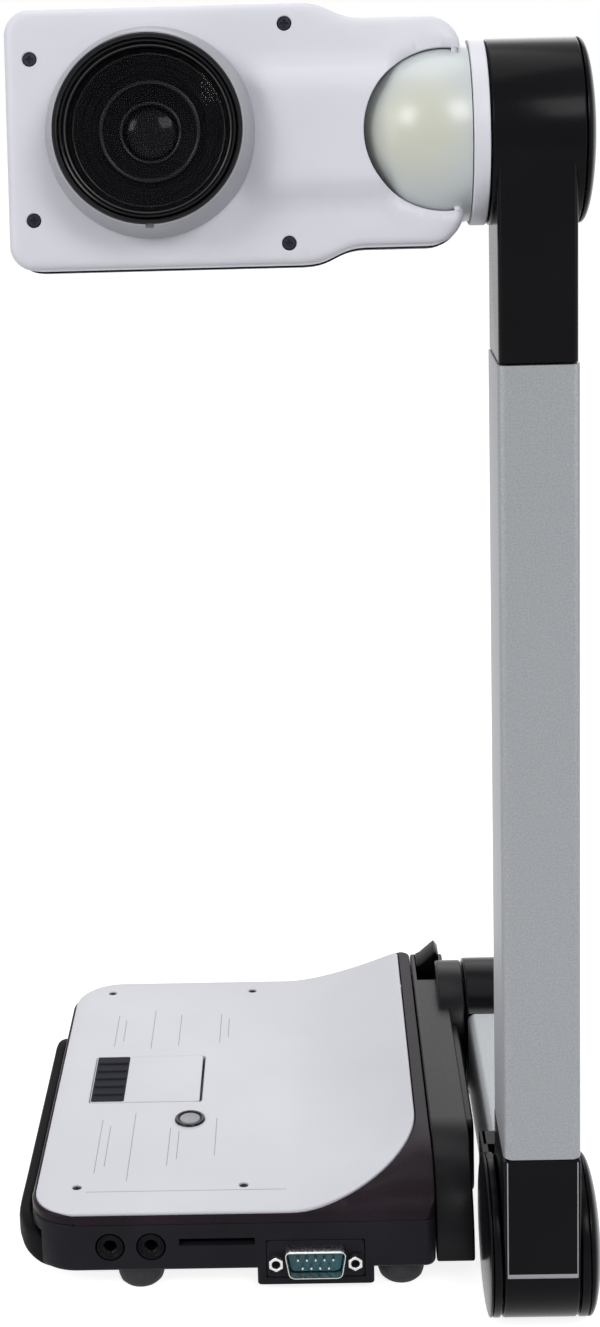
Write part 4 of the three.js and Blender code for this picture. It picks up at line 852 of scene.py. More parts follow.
# Profiles of radius and height
BUTTON_RING = (
    (3.8, 28.4), (5.0, 28.4), (5.2, 28.6), (5.1, 29.0), (4.8, 29.3), (4.2, 29.3), (3.8, 29.0), (3.8, 28.4),
)
BUTTON_FACE = (
    (0, 28.95), (1.5, 28.98), (2.6, 29.1), (3.2, 29.2), (3.5, 29.0), (3.6, 28.6), (3.6, 26.3), (0, 26.3),
)


def build_deck_fittings():
    """Deck screws, hinged lid with its ribbed grip, power button and plain rules."""
    x0, x1, y0, y1 = LID
    (left, right), (near, far) = DECK_SCREWS
    screws = repeated(cross_screw(*DECK_SCREW), "slate", 2, 2, right - left, far - near,
                      ((left + right) / 2, (near + far) / 2, 0))
    finish_piece(screws, "deck_screw_heads", "slate", "base", [
        "deck_screw_near_left", "deck_screw_near_right", "deck_screw_far_left", "deck_screw_far_right",
    ])

    def lid_plan(inset):
        return even(x0 + GAP + inset, x1 - 0.9 - inset, y0 + 0.45 + inset, y1 - 0.45 - inset, 0.9)

    def pad_plan(inset):
        return even(x0 + PAD_EDGE + inset, x0 + PAD_WIDE - inset,
                    y0 + PAD_EDGE + inset, y1 - PAD_EDGE - inset, 0.7)

    def rib_plan(inset):
        return even(-RIB_REACH + inset, RIB_REACH - inset, -RIB_HALF + inset, RIB_HALF - inset, 0.5)
    panel = soft_prism(lid_plan, "Z", LID_LOW, LID_HIGH, 0.25)
    finish_piece(panel, "lid_panel", "white", "lid", ["deck_lid"])
    rib = soft_prism(rib_plan, "Z", RIB_LOW, RIB_HIGH, 0.3)
    ribs = repeated(rib, "grip", 1, 5, 1.0, (y1 - y0) / 6, (x0 + RIB_MIDDLE, (y0 + y1) / 2, 0))
    pad = fused(soft_prism(pad_plan, "Z", PAD_LOW, PAD_HIGH, 0.2), ribs)
    finish_piece(pad, "grip_pad", "grip", "lid", ["lid_grip"])
    bar = rod("Y", HINGE_RADIUS, HINGE_X, HINGE_Z, y0 + PAD_EDGE, y1 - PAD_EDGE, 0.3, 32)
    finish_piece(bar, "hinge_bar", "black", "lid", ["lid_hinge_bar"])
    finish_piece(lathe(BUTTON_RING, "Z", BUTTON, 64), "button_bezel", "lens_gloss", "base", ["button_ring"])
    finish_piece(lathe(BUTTON_FACE, "Z", BUTTON, 48), "button_face", "grey", "button", ["power_button"])
    strips = [box_mesh(x - RULE_HALF, x + RULE_HALF, low, high, RULE_LOW, RULE_HIGH)
              for x, low, high in RULES]
    strips.append(box_mesh(*EDGE_RULE, RULE_LOW, RULE_HIGH))
    finish_piece(fused(*strips), "deck_rules", "print", "base")
    paint("teal", "setting_switches")
    paint("board", "main_board")
    paint("steel", "ballast_plate")
    paint("black", "button_switch")


# Profiles of radius and depth behind the near face, below zero where they stand out
JACK_PROFILE = (
    (1.8, 9), (1.8, 0.9), (2.3, 0.4), (3.2, 0.25), (3.5, -0.1), (4.1, -0.1), (4.3, 0.2), (4.3, 9), (1.8, 9),
)
PIN_PROFILE = ((0, -4.4), (0.3, -4.25), (0.5, -3.9), (0.5, 0.2), (0, 0.2))

# Connector shell: how far each ring is widened, and its depth
SHELL_RINGS = ((0.5, 0.4), (0.5, -3.9), (0.3, -4.2), (0.1, -4.2), (0, -3.9), (0, 0.9))
SHELL_WIDE, SHELL_TALL, SHELL_SLANT, SHELL_CORNER = 9.45, 4.18, 1.47, 1.6
PIN_PITCH, PIN_ROW, PIN_FOOT = 2.77, 1.42, 0.8
FLANGE_WIDE, FLANGE_TALL = 15.4, 6.25

# Hexagon standoffs: reach of a corner, radius of the hole, and radius of a matt black disc at the hole's
# floor, painted shade that stands for the depth of the threaded bore
HEX_REACH, HEX_HOLE, HEX_SHADE_RADIUS = 2.5, 1.35, 1.3


def shell_plan(grow):
    """Rounded D outline of the nine-pin connector."""
    top, tall = SHELL_WIDE + grow, SHELL_TALL + grow
    low = top - SHELL_SLANT
    corner = SHELL_CORNER + max(grow, 0)
    line = [(low, -tall), (top, tall), (-top, tall), (-low, -tall)]
    out = []
    for i, (x, z) in enumerate(line):
        before, after = Vector(line[i - 1]), Vector(line[(i + 1) % 4])
        here = Vector((x, z))
        start, end = here + (before - here).normalized() * corner, here + (after - here).normalized() * corner
        for k in range(6):
            t = k / 5
            p = start * (1 - t) ** 2 + here * 2 * t * (1 - t) + end * t ** 2
            out.append((SERIAL_X + p.x, SERIAL_Z + p.y))
    return out


def build_serial():
    """Nine-pin connector with its frame, flange, insert, pins and hexagon standoffs."""
    order = AXIS_ORDER["Y"]
    ring = loft([[order(a, b, y) for a, b in shell_plan(grow)] for grow, y in SHELL_RINGS], cap=False)

    def flange_plan(inset):
        return even(SERIAL_X - FLANGE_WIDE + inset, SERIAL_X + FLANGE_WIDE - inset,
                    SERIAL_Z - FLANGE_TALL + inset, SERIAL_Z + FLANGE_TALL - inset, 1.2)
    finish_piece(ring, "serial_frame", "nickel", "base", ["serial_shell"], sharp=40)
    finish_piece(soft_prism(flange_plan, "Y", 0.0, 0.8, 0.2), "serial_flange", "black", "base", sharp=40)
    finish_piece(prism(shell_plan(-0.3), "Y", -0.9, 1.4), "serial_block", "teal", "base", ["serial_insert"],
                 modifiers=[bevel(0.25)])
    rows = []
    for count, shift in ((5, PIN_ROW), (4, -PIN_ROW)):
        pin = lathe(PIN_PROFILE, "Z", (0, 0), 16)
        place = (SERIAL_X, PIN_FOOT, SERIAL_Z + shift)
        rows.append(repeated(pin, "nickel", count, 1, PIN_PITCH, 1.0, place, (-90, "X")))
    pins = fused(*rows)
    bmesh.ops.recalc_face_normals(pins, faces=pins.faces)
    finish_piece(pins, "serial_pin_set", "nickel", "base", ["serial_pins"])
    for side, x in (("left", SERIAL_X - SCREW_REACH), ("right", SERIAL_X + SCREW_REACH)):
        angles = [math.radians(60 * i + 30) for i in range(6)]
        hexagon = [(HEX_REACH * math.cos(angle), HEX_REACH * math.sin(angle)) for angle in angles]
        nut = prism([(x + a, SERIAL_Z + b) for a, b in hexagon], "Y", -3.4, -0.1)
        body = combined(nut, [("DIFFERENCE", rod("Y", HEX_HOLE, x, SERIAL_Z, -5, -0.8, 0, 32))])
        finish_piece(body, f"hex_standoff_{side}", "nickel", "base", [f"jackscrew_{side}"],
                     modifiers=[bevel(0.2)])
        # Painted shade: a matt black disc at the floor of each standoff's shallow hole, so that it reads as a
        # deep dark bore
        shade_disc = rod("Y", HEX_SHADE_RADIUS, x, SERIAL_Z, -1.6, -0.7, 0.1, 32)
        finish_piece(shade_disc, f"standoff_bore_{side}", "baffle", "base")


def build_ports():
    """Jacks, card socket, serial connector and power inlet."""
    for side, x in zip(("left", "right"), JACKS):
        body = fused(lathe(JACK_PROFILE, "Y", (x, PORT_Z), 48), rod("Y", 2.0, x, PORT_Z, 7.5, 9))
        finish_piece(body, f"jack_{side}", "gloss", "base", [f"audio_jack_{side}"])
    paint("steel", "card_socket")
    build_serial()
    far = CASE_DEPTH
    back = far - INLET_DEPTH
    socket = [(2.6, back), (2.6, far - 0.8), (3.2, far - 0.2), (4.1, far - 0.2),
              (4.4, far - 0.5), (4.4, back), (2.6, back)]
    inlet = fused(lathe(socket, "Y", (INLET_X, PORT_Z), 48),
                  rod("Y", 1.0, INLET_X, PORT_Z, far - 9, far - 2, 0.3, 24),
                  rod("Y", 2.8, INLET_X, PORT_Z, back, far - 9))
    finish_piece(inlet, "inlet_socket", "lens_gloss", "base", ["power_inlet"])


def handle_path():
    """Points along the strap, each with its share of the full cross-section."""
    side, middle = CASE_LEFT - 1.0 - HANDLE_BAR / 2, (HANDLE_TOP + 10.5) / 2
    near, far = HANDLE_LEGS[0][0], HANDLE_LEGS[1][0]
    return [
        (LEG_END, near, 9.7, 0.0), (-60, near, 9.3, 0.2), (BEND_X, near, 8.4, 0.6), (-67.5, near, 8.6, 0.7),
        (-71.3, near, 9.6, 0.8), (-74.6, near, 11.5, 0.9), (-77.4, near + 1.0, 13.4, 0.95),
        (-79.8, near + 3.4, 14.7, 1), (-81.5, near + 7.5, middle, 1), (side, near + 14, middle, 1),
        *((side, y, middle, 1) for y in (40, 70, 100, 122)),
        (side, far - 9, middle, 1), (side + 0.3, far - 4.5, 14.6, 1), (side + 1.6, far - 1.2, 13.3, 1),
        (-78, far, 11.4, 0.9), (-73.5, far, 9.6, 0.8), (-69, far, 8.7, 0.7), (BEND_X, far, 8.4, 0.6),
        (-60, far, 9.3, 0.2), (LEG_END, far, 9.7, 0.0),
    ]


def rounded_square(angle):
    """A point of a square with well rounded corners, as shares of its half sizes."""
    return [math.copysign(abs(share) ** 0.5, share) for share in (math.cos(angle), math.sin(angle))]


def build_handle():
    """Strap of the carrying handle, bent round the near corner and tucked under the case at both ends."""
    path = handle_path()
    knots = [Vector(p[:3]) for p in path]
    last = len(path) - 1
    outline = [rounded_square(math.tau * k / 28) for k in range(28)]
    rings = []
    for i in range(last):
        before, start, end, after = (knots[max(0, min(last, i + k))] for k in (-1, 0, 1, 2))
        slope = end - before
        curve = 2 * before - 5 * start + 4 * end - after
        twist = 3 * start - before - 3 * end + after
        for t in [j / 4 for j in range(5 if i == last - 1 else 4)]:
            here = 0.5 * (2 * start + slope * t + curve * t ** 2 + twist * t ** 3)
            along = (0.5 * (slope + 2 * curve * t + 3 * twist * t ** 2)).normalized()
            across = along.cross(Vector((0, 0, 1))).normalized()
            up = across.cross(along)
            share = path[i][3] + (path[i + 1][3] - path[i][3]) * t
            half, tall = 1.9 + 0.3 * share, 0.85 + 3.9 * share ** 2.2
            rings.append([here + across * (a * half) + up * (b * tall) for a, b in outline])
    finish_piece(loft(rings), "handle_strap", "soft", "handle", ["carrying_handle"], sharp=50)


# Arm: wall and half depth of the tubes, running gap of the fork, and the ends of the lower tube
TUBE_WALL, HALF_TUBE, FORK_GAP = 2, TUBE_DEPTH / 2, 0.5
LOWER_TUBE_NEAR, LOWER_TUBE_FAR = 25.8, SHOULDER_Y - 24.3

# Bulge of the domed discs, below zero where they face -X: shoulder, left and right of the elbow, barrel
SHOULDER_DOME, ELBOW_DOMES, BARREL_DOME = 4.9, (-1.7, 4.2), 3.8

# Near end of the block that joins the two cheeks of the fork
FORK_BRIDGE_NEAR = 17.5


def tube_mesh(axis, b0, b1, low, high):
    """Extruded tube with its wall showing at the ends."""
    order = AXIS_ORDER[axis]
    outer = even(TUBE_LEFT, TUBE_RIGHT, b0, b1, TUBE_CORNER, 8)
    inner = even(TUBE_LEFT + TUBE_WALL, TUBE_RIGHT - TUBE_WALL, b0 + TUBE_WALL, b1 - TUBE_WALL, 1.0, 8)
    ends = [(outer, low), (outer, high), (inner, high), (inner, low), (outer, low)]
    return loft([[order(a, b, t) for a, b in line] for line, t in ends], cap=False)


def build_lower_arm(settings):
    """Shoulder, lower tube and the forked elbow that lie beside the base."""
    low, high = HUB_Z - HALF_TUBE, HUB_Z + HALF_TUBE
    near, far = LOWER_TUBE_NEAR, LOWER_TUBE_FAR
    tube = tube_mesh("Y", low, high, near, far)
    finish_piece(tube, "lower_profile", "aluminium", "lower_arm", ["lower_tube"])

    def flat_start(inset):
        return math.degrees(math.asin((HALF_TUBE - inset) / (HUB_RADIUS - inset)))

    def knuckle(inset):
        start = flat_start(inset)
        return arc(SHOULDER_Y, HUB_Z, HUB_RADIUS - inset, start - 180, 180 - start, 60) + [
            (far + GAP + inset, high - inset), (far + GAP + inset, low + inset)]

    def fork(inset):
        start = flat_start(inset)
        return arc(ELBOW_Y, HUB_Z, HUB_RADIUS - inset, start, 360 - start, 60) + [
            (near - GAP - inset, low + inset), (near - GAP - inset, high - inset)]
    body = soft_prism(knuckle, "X", TUBE_LEFT, TUBE_RIGHT, settings.knuckle_edge)
    finish_piece(body, "shoulder_body", "gloss", "lower_arm", ["shoulder_knuckle"])
    rim = TUBE_RIGHT + RIGHT_CHEEK
    cap = fused(rod("X", HUB_RADIUS, SHOULDER_Y, HUB_Z, TUBE_RIGHT + GAP, rim + 0.2, 0.4),
                dome_disc(HUB_RADIUS - 0.2, rim, 0.4, SHOULDER_DOME, SHOULDER_Y, HUB_Z))
    finish_piece(cap, "shoulder_cover", "gloss", "lower_arm", ["shoulder_cap"])
    left, right = TUBE_LEFT - FORK_GAP - LEFT_CHEEK, TUBE_RIGHT + FORK_GAP + RIGHT_CHEEK
    cheeks = [soft_prism(fork, "X", left, left + LEFT_CHEEK, 0.5),
              soft_prism(fork, "X", right - RIGHT_CHEEK, right, 0.5)]
    bridge = box_mesh(left + 1, right - 1, FORK_BRIDGE_NEAR, near - GAP, low, high)
    finish_piece(fused(*cheeks, bridge), "elbow_cheeks", "gloss", "lower_arm", ["elbow_fork"])
    for side, foot, lip, dome in zip(("left", "right"), (left - GAP, right + GAP), (-0.3, 0.3), ELBOW_DOMES):
        disc = dome_disc(HUB_RADIUS, foot, lip, dome, ELBOW_Y, HUB_Z)
        finish_piece(disc, f"elbow_cover_{side}", "gloss", "lower_arm", [f"elbow_cap_{side}"])
    paint("steel", "shoulder_pin", "elbow_pin")


def build_upper_arm(settings):
    """Elbow block with a thin silver frame of painted highlight on its front edges, upright tube and the
    housing that carries the head.
    """
    def knuckle(inset):
        radius = HUB_RADIUS - inset
        start = math.degrees(math.acos((ARM_BACK - inset - ELBOW_Y) / radius))
        return [(ARM_FRONT + inset, KNUCKLE_TOP - inset), (ARM_BACK - inset, KNUCKLE_TOP - inset)] + arc(
            ELBOW_Y, HUB_Z, radius, start, -180, 60)

    def block_plan(inset):
        return even(TUBE_LEFT + 0.4 + inset, TUBE_RIGHT - 0.4 - inset,
                    ARM_FRONT + 0.8 + inset, ARM_BACK - inset, 2.2, 8)
    body = soft_prism(knuckle, "X", TUBE_LEFT, TUBE_RIGHT, settings.knuckle_edge)
    finish_piece(body, "elbow_body", "gloss", "upper_arm", ["elbow_knuckle"])
    # Painted highlight: a thin silver frame along the block's front side edges and bottom step, standing for
    # the light that the black chamfered edges catch
    left, right, low, high = TUBE_LEFT + 0.9, TUBE_RIGHT - 0.9, 24.4, KNUCKLE_TOP - 0.6
    thin, foot = 0.35, 1.3
    edge_highlight = [(left, low), (right, low), (right, high), (right - thin, high), (right - thin, low + foot),
            (left + thin, low + foot), (left + thin, high), (left, high)]
    finish_piece(prism(edge_highlight, "Y", ARM_FRONT - 0.15, ARM_FRONT + 0.4), "elbow_trim", "silver", "upper_arm",
                 modifiers=[bevel(0.1)])
    tube = tube_mesh("Z", ARM_FRONT, ARM_BACK, KNUCKLE_TOP + GAP, UPPER_TUBE_TOP)
    finish_piece(tube, "upper_profile", "aluminium", "upper_arm", ["upper_tube"])
    block = soft_prism(block_plan, "Z", UPPER_TUBE_TOP + GAP, HEAD_Z + 2, 0.4)
    barrel = rod("X", BARREL_RADIUS, HEAD_Y, HEAD_Z, BARREL_LEFT, BARREL_RIGHT, 0.7, 128)
    housing = combined(barrel, [("UNION", block)])
    finish_piece(housing, "top_housing", "gloss", "upper_arm", ["top_cap"], sharp=30)
    disc = dome_disc(BARREL_RADIUS, BARREL_RIGHT + GAP, 0.3, BARREL_DOME, HEAD_Y, HEAD_Z)
    finish_piece(disc, "barrel_cover", "gloss", "upper_arm", ["barrel_cap"])


# Head screws: for the left and the right pair, X and reach above and below the middle
HEAD_SCREWS, HEAD_SCREW_HOLE = ((-59.5, 22.3), (11.3, 30.3)), 2.05
LENS_HOLE = 24.6

# Bridge between lens and lamp, and bezel round the lamp
BRIDGE_HALF, BRIDGE_START, BRIDGE_END = 13, -3, 49
BEZEL_AWAY, BEZEL_WIDE = 2.6, 2.4

# Corner radii of the head at the lens end and at the neck, and rounding of the back cover
LENS_END_CORNER, NECK_CORNER, BACK_EDGE, BACK_GROW = 7.0, 9.0, 3.0, 0.5


def head_outline(grow):
    """Front outline of the head: a broad lens end and a narrower neck joined by soft curves."""
    left, right = HEAD_LEFT - grow, HEAD_RIGHT + grow
    tall, low = HEAD_TALL + grow, NECK_TALL + grow
    middle = (NECK_START + NECK_END) / 2

    def bend(x0, z0, x1, z1):
        """Level at both ends, with both handles at the middle."""
        return [
            (x0 * (1 - t) ** 3 + 3 * middle * t * (1 - t) ** 2 + 3 * middle * t * t * (1 - t) + x1 * t ** 3,
             z0 * ((1 - t) ** 3 + 3 * t * (1 - t) ** 2) + z1 * (3 * t * t * (1 - t) + t ** 3))
            for t in (i / 10 for i in range(11))
        ]
    big, small = LENS_END_CORNER + grow, NECK_CORNER + grow
    return (bend(NECK_START, -tall, NECK_END, -low) + arc(right - small, -low + small, small, 270, 360, 10)
            + arc(right - small, low - small, small, 0, 90, 10) + bend(NECK_END, low, NECK_START, tall)
            + arc(left + big, tall - big, big, 90, 180, 10) + arc(left + big, -tall + big, big, 180, 270, 10))


def head_piece(mesh, name, finish, replaces=(), sharp=32.0, body="head"):
    """A finished piece that was laid out round the head's hinge."""
    finish_piece(mesh, name, finish, body, replaces, HEAD, sharp)


def build_head(settings):
    """White front cover with its raised bridge and dome bezel, black back cover, screws and collar."""
    def face(x, z):
        bridge = settings.bridge_rise * smooth(1 - (abs(z) - BRIDGE_HALF) / 8)
        bridge = bridge * smooth((x - BRIDGE_START) / 10) * smooth((BRIDGE_END - x) / 14)
        away = math.hypot(x - DOME_X, z)
        bezel = settings.bezel_rise * math.exp(-((away - DOME_MOUTH - BEZEL_AWAY) / BEZEL_WIDE) ** 2)
        return -HEAD_FRONT - max(bridge, bezel)

    def dome_hole(grow):
        """Half moon of the dome, whose right side runs out past the plate."""
        radius = DOME_MOUTH + grow
        reach = math.degrees(math.acos((HEAD_RIGHT - 0.4 - grow - DOME_X) / radius))
        return arc(DOME_X, 0, radius, 360 - reach, reach, 60)
    holes = [round_hole(LENS_X, LENS_Z, LENS_HOLE, 72), dome_hole]
    holes += [round_hole(x, z * side, HEAD_SCREW_HOLE, 24) for x, z in HEAD_SCREWS for side in (1, -1)]
    cover = formed_plate(lambda inset: head_outline(-inset), holes, face, "Y", settings.head_edge,
                         COVER_DEPTH, 1, floor=HEAD_SPLIT, shallow=(dome_hole,))
    head_piece(cover, "front_cover", "white", ["head_front_cover"], 40)
    order = AXIS_ORDER["Y"]
    flat = HEAD_BACK - BACK_EDGE
    rows = [(BACK_GROW, HEAD_SPLIT + GAP), (BACK_GROW, flat)]
    rows += [(BACK_GROW - inset, flat + (BACK_EDGE - drop)) for inset, drop in rounding(BACK_EDGE, 5)[::-1]]
    back = loft([[order(a, b, y) for a, b in head_outline(grow)] for grow, y in rows])
    head_piece(back, "back_cover", "black", ["head_back_cover"], 40)
    for label, (x, z) in zip(("left", "right"), HEAD_SCREWS):
        heads = repeated(cross_screw(*HEAD_SCREW), "slate", 1, 2, 1.0, 2 * z, (x, 0, 0), (90, "X"))
        head_piece(heads, f"head_screws_{label}", "slate",
                   [f"head_screw_top_{label}", f"head_screw_bottom_{label}"])
    collar = rod("X", BARREL_RADIUS, 0, 0, DOME_CUT + GAP, BARREL_LEFT - 0.5, 0.5, 96)
    head_piece(collar, "tilt_collar", "white", ["neck_collar"])
    paint("steel", "head_pin")


# Turned parts of the lens: profiles of radius and depth
GRIP_RING = (
    (24.6, -15.4), (28.9, -15.4), (29.2, -15.9), (28.8, -18), (26.6, -28.8),
    (26.3, -29.5), (25.9, -29.7), (25.8, -28.6), (24.6, -28.6), (24.6, -15.4),
)
GRIP_LIP = (
    (24.6, -28.4), (25.7, -28.4), (25.7, -29.8), (25.5, -30.0), (24.9, -30.0), (24.6, -29.7), (24.6, -28.4),
)
HOOD = (
    (22.3, -14.8), (24.2, -14.8), (24.2, -29.2), (23.9, -29.5),
    (23.5, -29.4), (22.6, -27.2), (22.3, -26.9), (22.3, -14.8),
)
FRONT_GLASS = (
    (0, -27.0), (6, -26.85), (12, -26.4), (17, -25.75), (22.1, -24.8), (22.1, -23.4), (12, -24.2), (0, -24.6),
)
LENS_STEPS = (
    (22.2, -23.2), (21.2, -23.0), (20.8, -21.6), (18.6, -21.4), (18.2, -20.0), (16.2, -19.8),
    (15.8, -18.4), (14.2, -18.2), (14.0, -19.2), (13.2, -19.2), (12.6, -17.4), (9.0, -15.2),
    (8.2, -15.0), (8.2, -8), (22.2, -8), (22.2, -23.2),
)
REAR_GLASS = ((0, -15.6), (3, -15.4), (5.6, -14.8), (8.1, -13.6), (8.1, -6), (0, -6))

# Bright rings in the lens: name, radius, depth and thickness
BEADS = (("front", 22.75, -27.5, 0.35), ("outer", 20.9, -23.0, 0.35), ("middle", 13.6, -19.3, 0.8),
         ("inner", 8.3, -15.3, 0.6))


def build_lens():
    """Turning ring, black hood, coated front glass and the stepped cell behind it."""
    def turned(profile, segments=96):
        return lathe(profile, "Y", (LENS_X, LENS_Z), segments)
    notch = box_mesh(LENS_X - 1.1, LENS_X + 1.1, -31, -27.6, LENS_Z - 30, LENS_Z - 25.2)
    ring = combined(turned(GRIP_RING, 128), [("DIFFERENCE", notch)])
    head_piece(ring, "lens_grip_ring", "silver", ["lens_ring"], 30, "focus_ring")
    head_piece(turned(GRIP_LIP, 128), "lens_grip_lip", "lens_gloss", (), 30, "focus_ring")
    head_piece(turned(HOOD, 128), "lens_hood_ring", "lens_gloss", ["lens_hood"], 30)
    head_piece(turned(FRONT_GLASS), "front_element", "glass", ["front_glass"], 30)
    head_piece(turned(LENS_STEPS), "lens_steps", "baffle", ["lens_inner_ring"], 25)
    for label, radius, depth, thick in BEADS:
        angles = [math.radians(t) for t in range(0, 361, 30)]
        bead = [(radius + thick * math.cos(angle), depth - thick * math.sin(angle)) for angle in angles]
        head_piece(turned(bead), f"retaining_bead_{label}", "bead", (), 50)
    head_piece(turned(REAR_GLASS, 64), "rear_element", "rear_glass", ["lens_cell"])
    paint("board", "sensor_board")


def build_lamp():
    """Frosted dome and the lamp board behind it."""
    reach = [DOME_X - DOME_RADIUS + (DOME_CUT - DOME_X + DOME_RADIUS) * i / 40 for i in range(41)]
    skin = [(math.sqrt(max(0.0, DOME_RADIUS ** 2 - (x - DOME_X) ** 2)), x) for x in reach] + [(0, DOME_CUT)]
    ball = lathe(skin, "X", (0, 0), 96)
    geom = ball.verts[:] + ball.edges[:] + ball.faces[:]
    cut = bmesh.ops.bisect_plane(ball, geom=geom, plane_co=(0, -HEAD_SPLIT, 0), plane_no=(0, 1, 0),
                                 clear_outer=True)
    open_edges = [item for item in cut["geom_cut"] if isinstance(item, bmesh.types.BMEdge)]
    bmesh.ops.contextual_create(ball, geom=open_edges)
    bmesh.ops.recalc_face_normals(ball, faces=ball.faces)
    head_piece(ball, "diffuser_dome", "dome", ["lamp_dome"], 40)
    paint("board", "lamp_board")


class DoccamShape(bpy.types.PropertyGroup):
    """Edge sizes and reliefs in millimetres."""
    case_edge: bpy.props.FloatProperty(
        name="Case edge", description="Rounding of the lower case, mm", default=1.4)
    deck_edge: bpy.props.FloatProperty(
        name="Deck edge", description="Rounding of the deck rim, mm", default=0.8)
    bar_edge: bpy.props.FloatProperty(
        name="Bar edge", description="Rounding of the bar housing, mm", default=0.7)
    knuckle_edge: bpy.props.FloatProperty(
        name="Knuckle edge", description="Rounding of the arm knuckles, mm", default=1.0)
    head_edge: bpy.props.FloatProperty(
        name="Head edge", description="Rounding of the head front, mm", default=2.6)
    bridge_rise: bpy.props.FloatProperty(
        name="Bridge rise", description="Rise of the bridge between lens and lamp, mm", default=4.2)
    bezel_rise: bpy.props.FloatProperty(
        name="Bezel rise", description="Rise of the bezel round the lamp, mm", default=1.0)


class DoccamColours(bpy.types.PropertyGroup):
    """Main colours as sRGB hex."""
    white_low: bpy.props.StringProperty(
        name="White, darker", description="Darker tone of the white plastic", default="#DADAE2")
    white_high: bpy.props.StringProperty(
        name="White, lighter", description="Lighter tone of the white plastic", default="#DEDEE6")
    black_low: bpy.props.StringProperty(
        name="Black, darker", description="Darker tone of the black plastic", default="#1C1B20")
    black_high: bpy.props.StringProperty(
        name="Black, lighter", description="Lighter tone of the black plastic", default="#25242A")
    rim_low: bpy.props.StringProperty(
        name="Rim, darker", description="Darker tone of the rim", default="#1D171C")
    rim_high: bpy.props.StringProperty(
        name="Rim, lighter", description="Lighter tone of the rim", default="#2A2028")


class DoccamStudio(bpy.types.PropertyGroup):
    """Camera and lights."""
    lens: bpy.props.FloatProperty(
        name="Lens", description="Focal length on a 36 mm frame", default=57.78, unit="CAMERA")
    pitch: bpy.props.FloatProperty(
        name="Pitch", description="Camera pitch below level, degrees", default=10.4)
    yaw: bpy.props.FloatProperty(
        name="Yaw", description="Camera turn toward the left of the base, degrees", default=1.2)
    roll: bpy.props.FloatProperty(
        name="Roll", description="Camera roll, degrees", default=-1.6)
    key: bpy.props.FloatProperty(
        name="Key power", description="Power of each high front softbox", default=5.2, unit="POWER")
    top: bpy.props.FloatProperty(
        name="Top power", description="Power of the overhead softbox", default=3.4, unit="POWER")
    side: bpy.props.FloatProperty(
        name="Side power", description="Power of each side softbox", default=1.8, unit="POWER")
    rear: bpy.props.FloatProperty(
        name="Rear power", description="Power of the softbox behind", default=4.0, unit="POWER")
    sky: bpy.props.FloatProperty(
        name="Sky", description="Strength of the surround that lights the surfaces", default=0.28)
    paper: bpy.props.FloatProperty(
        name="Paper", description="Glow that lifts the floor to white where it is seen", default=0.85)


def softbox(name, location, target, size, power):
    """A rectangular area lamp in metres, aimed at a target."""
    data = bpy.data.lights.new(name, "AREA")
    data.shape = "RECTANGLE"
    data.size, data.size_y = size
    data.energy = power
    lamp = bpy.data.objects.new(name, data)
    lamp.location = location
    lamp.rotation_euler = (Vector(target) - Vector(location)).to_track_quat("-Z", "Y").to_euler()
    bpy.context.scene.collection.objects.link(lamp)


def seen_or_else(tree, seen, otherwise):
    """One value for what the camera, a reflection or clear glass sees, another for the light on surfaces."""
    paths = add_node(tree, "ShaderNodeLightPath").outputs
    mirrored = add_node(tree, "ShaderNodeMath", {
        0: paths["Is Glossy Ray"], 1: paths["Is Transmission Ray"],
    }, operation="ADD")
    sight = add_node(tree, "ShaderNodeMath", {
        0: paths["Is Camera Ray"], 1: mirrored.outputs[0],
    }, operation="ADD", use_clamp=True)
    return add_node(tree, "ShaderNodeMapRange", {
        "Value": sight.outputs[0], "To Min": otherwise, "To Max": seen,
    }).outputs["Result"]


WHITE = (1, 1, 1, 1)

# Camera place in layout millimetres, and the picture's offset as a share of its long side
CAMERA_PLACE, CAMERA_SHIFT = (15, -613, 402.6), (0.0283, -0.2026)


def build_floor(studio):
    """Pale floor that holds the object's shadow and is seen as white."""
    bpy.ops.mesh.primitive_plane_add(size=8, location=(0, 1.0, 0))
    floor = bpy.context.object
    floor.name = "floor"
    material, tree, principled, coords = new_material("pale_paper", Roughness=0.9, Emission_Color=WHITE)
    tree.links.new(mottle(tree, coords, 400, linear("#BCBCBE"), linear("#C2C2C4")),
                   principled.inputs["Base Color"])
    tree.links.new(seen_or_else(tree, studio.paper, 0.0), principled.inputs["Emission Strength"])
    floor.data.materials.append(material)


def build_surround(studio):
    """White world where it is seen, and a dimmer one that lights the surfaces."""
    world = bpy.data.worlds.new("surround")
    bpy.context.scene.world = world
    world.use_nodes = True
    tree = world.node_tree
    background = next(n for n in tree.nodes if n.type == "BACKGROUND")
    background.inputs["Color"].default_value = WHITE
    tree.links.new(seen_or_else(tree, 1.0, studio.sky), background.inputs["Strength"])


def build_camera(studio):
    """Camera at the photograph's viewpoint."""
    data = bpy.data.cameras.new("photo_camera")
    data.sensor_fit = "AUTO"
    data.sensor_width = 36.0
    data.lens = studio.lens
    data.shift_x, data.shift_y = CAMERA_SHIFT
    camera = bpy.data.objects.new("photo_camera", data)
    camera.location = LAYOUT @ Vector(CAMERA_PLACE)
    camera.rotation_euler = (Matrix.Rotation(math.radians(studio.yaw), 4, "Z")
                             @ Matrix.Rotation(math.radians(90 - studio.pitch), 4, "X")
                             @ Matrix.Rotation(math.radians(studio.roll), 4, "Z")).to_euler()
    bpy.context.scene.collection.objects.link(camera)
    bpy.context.scene.camera = camera


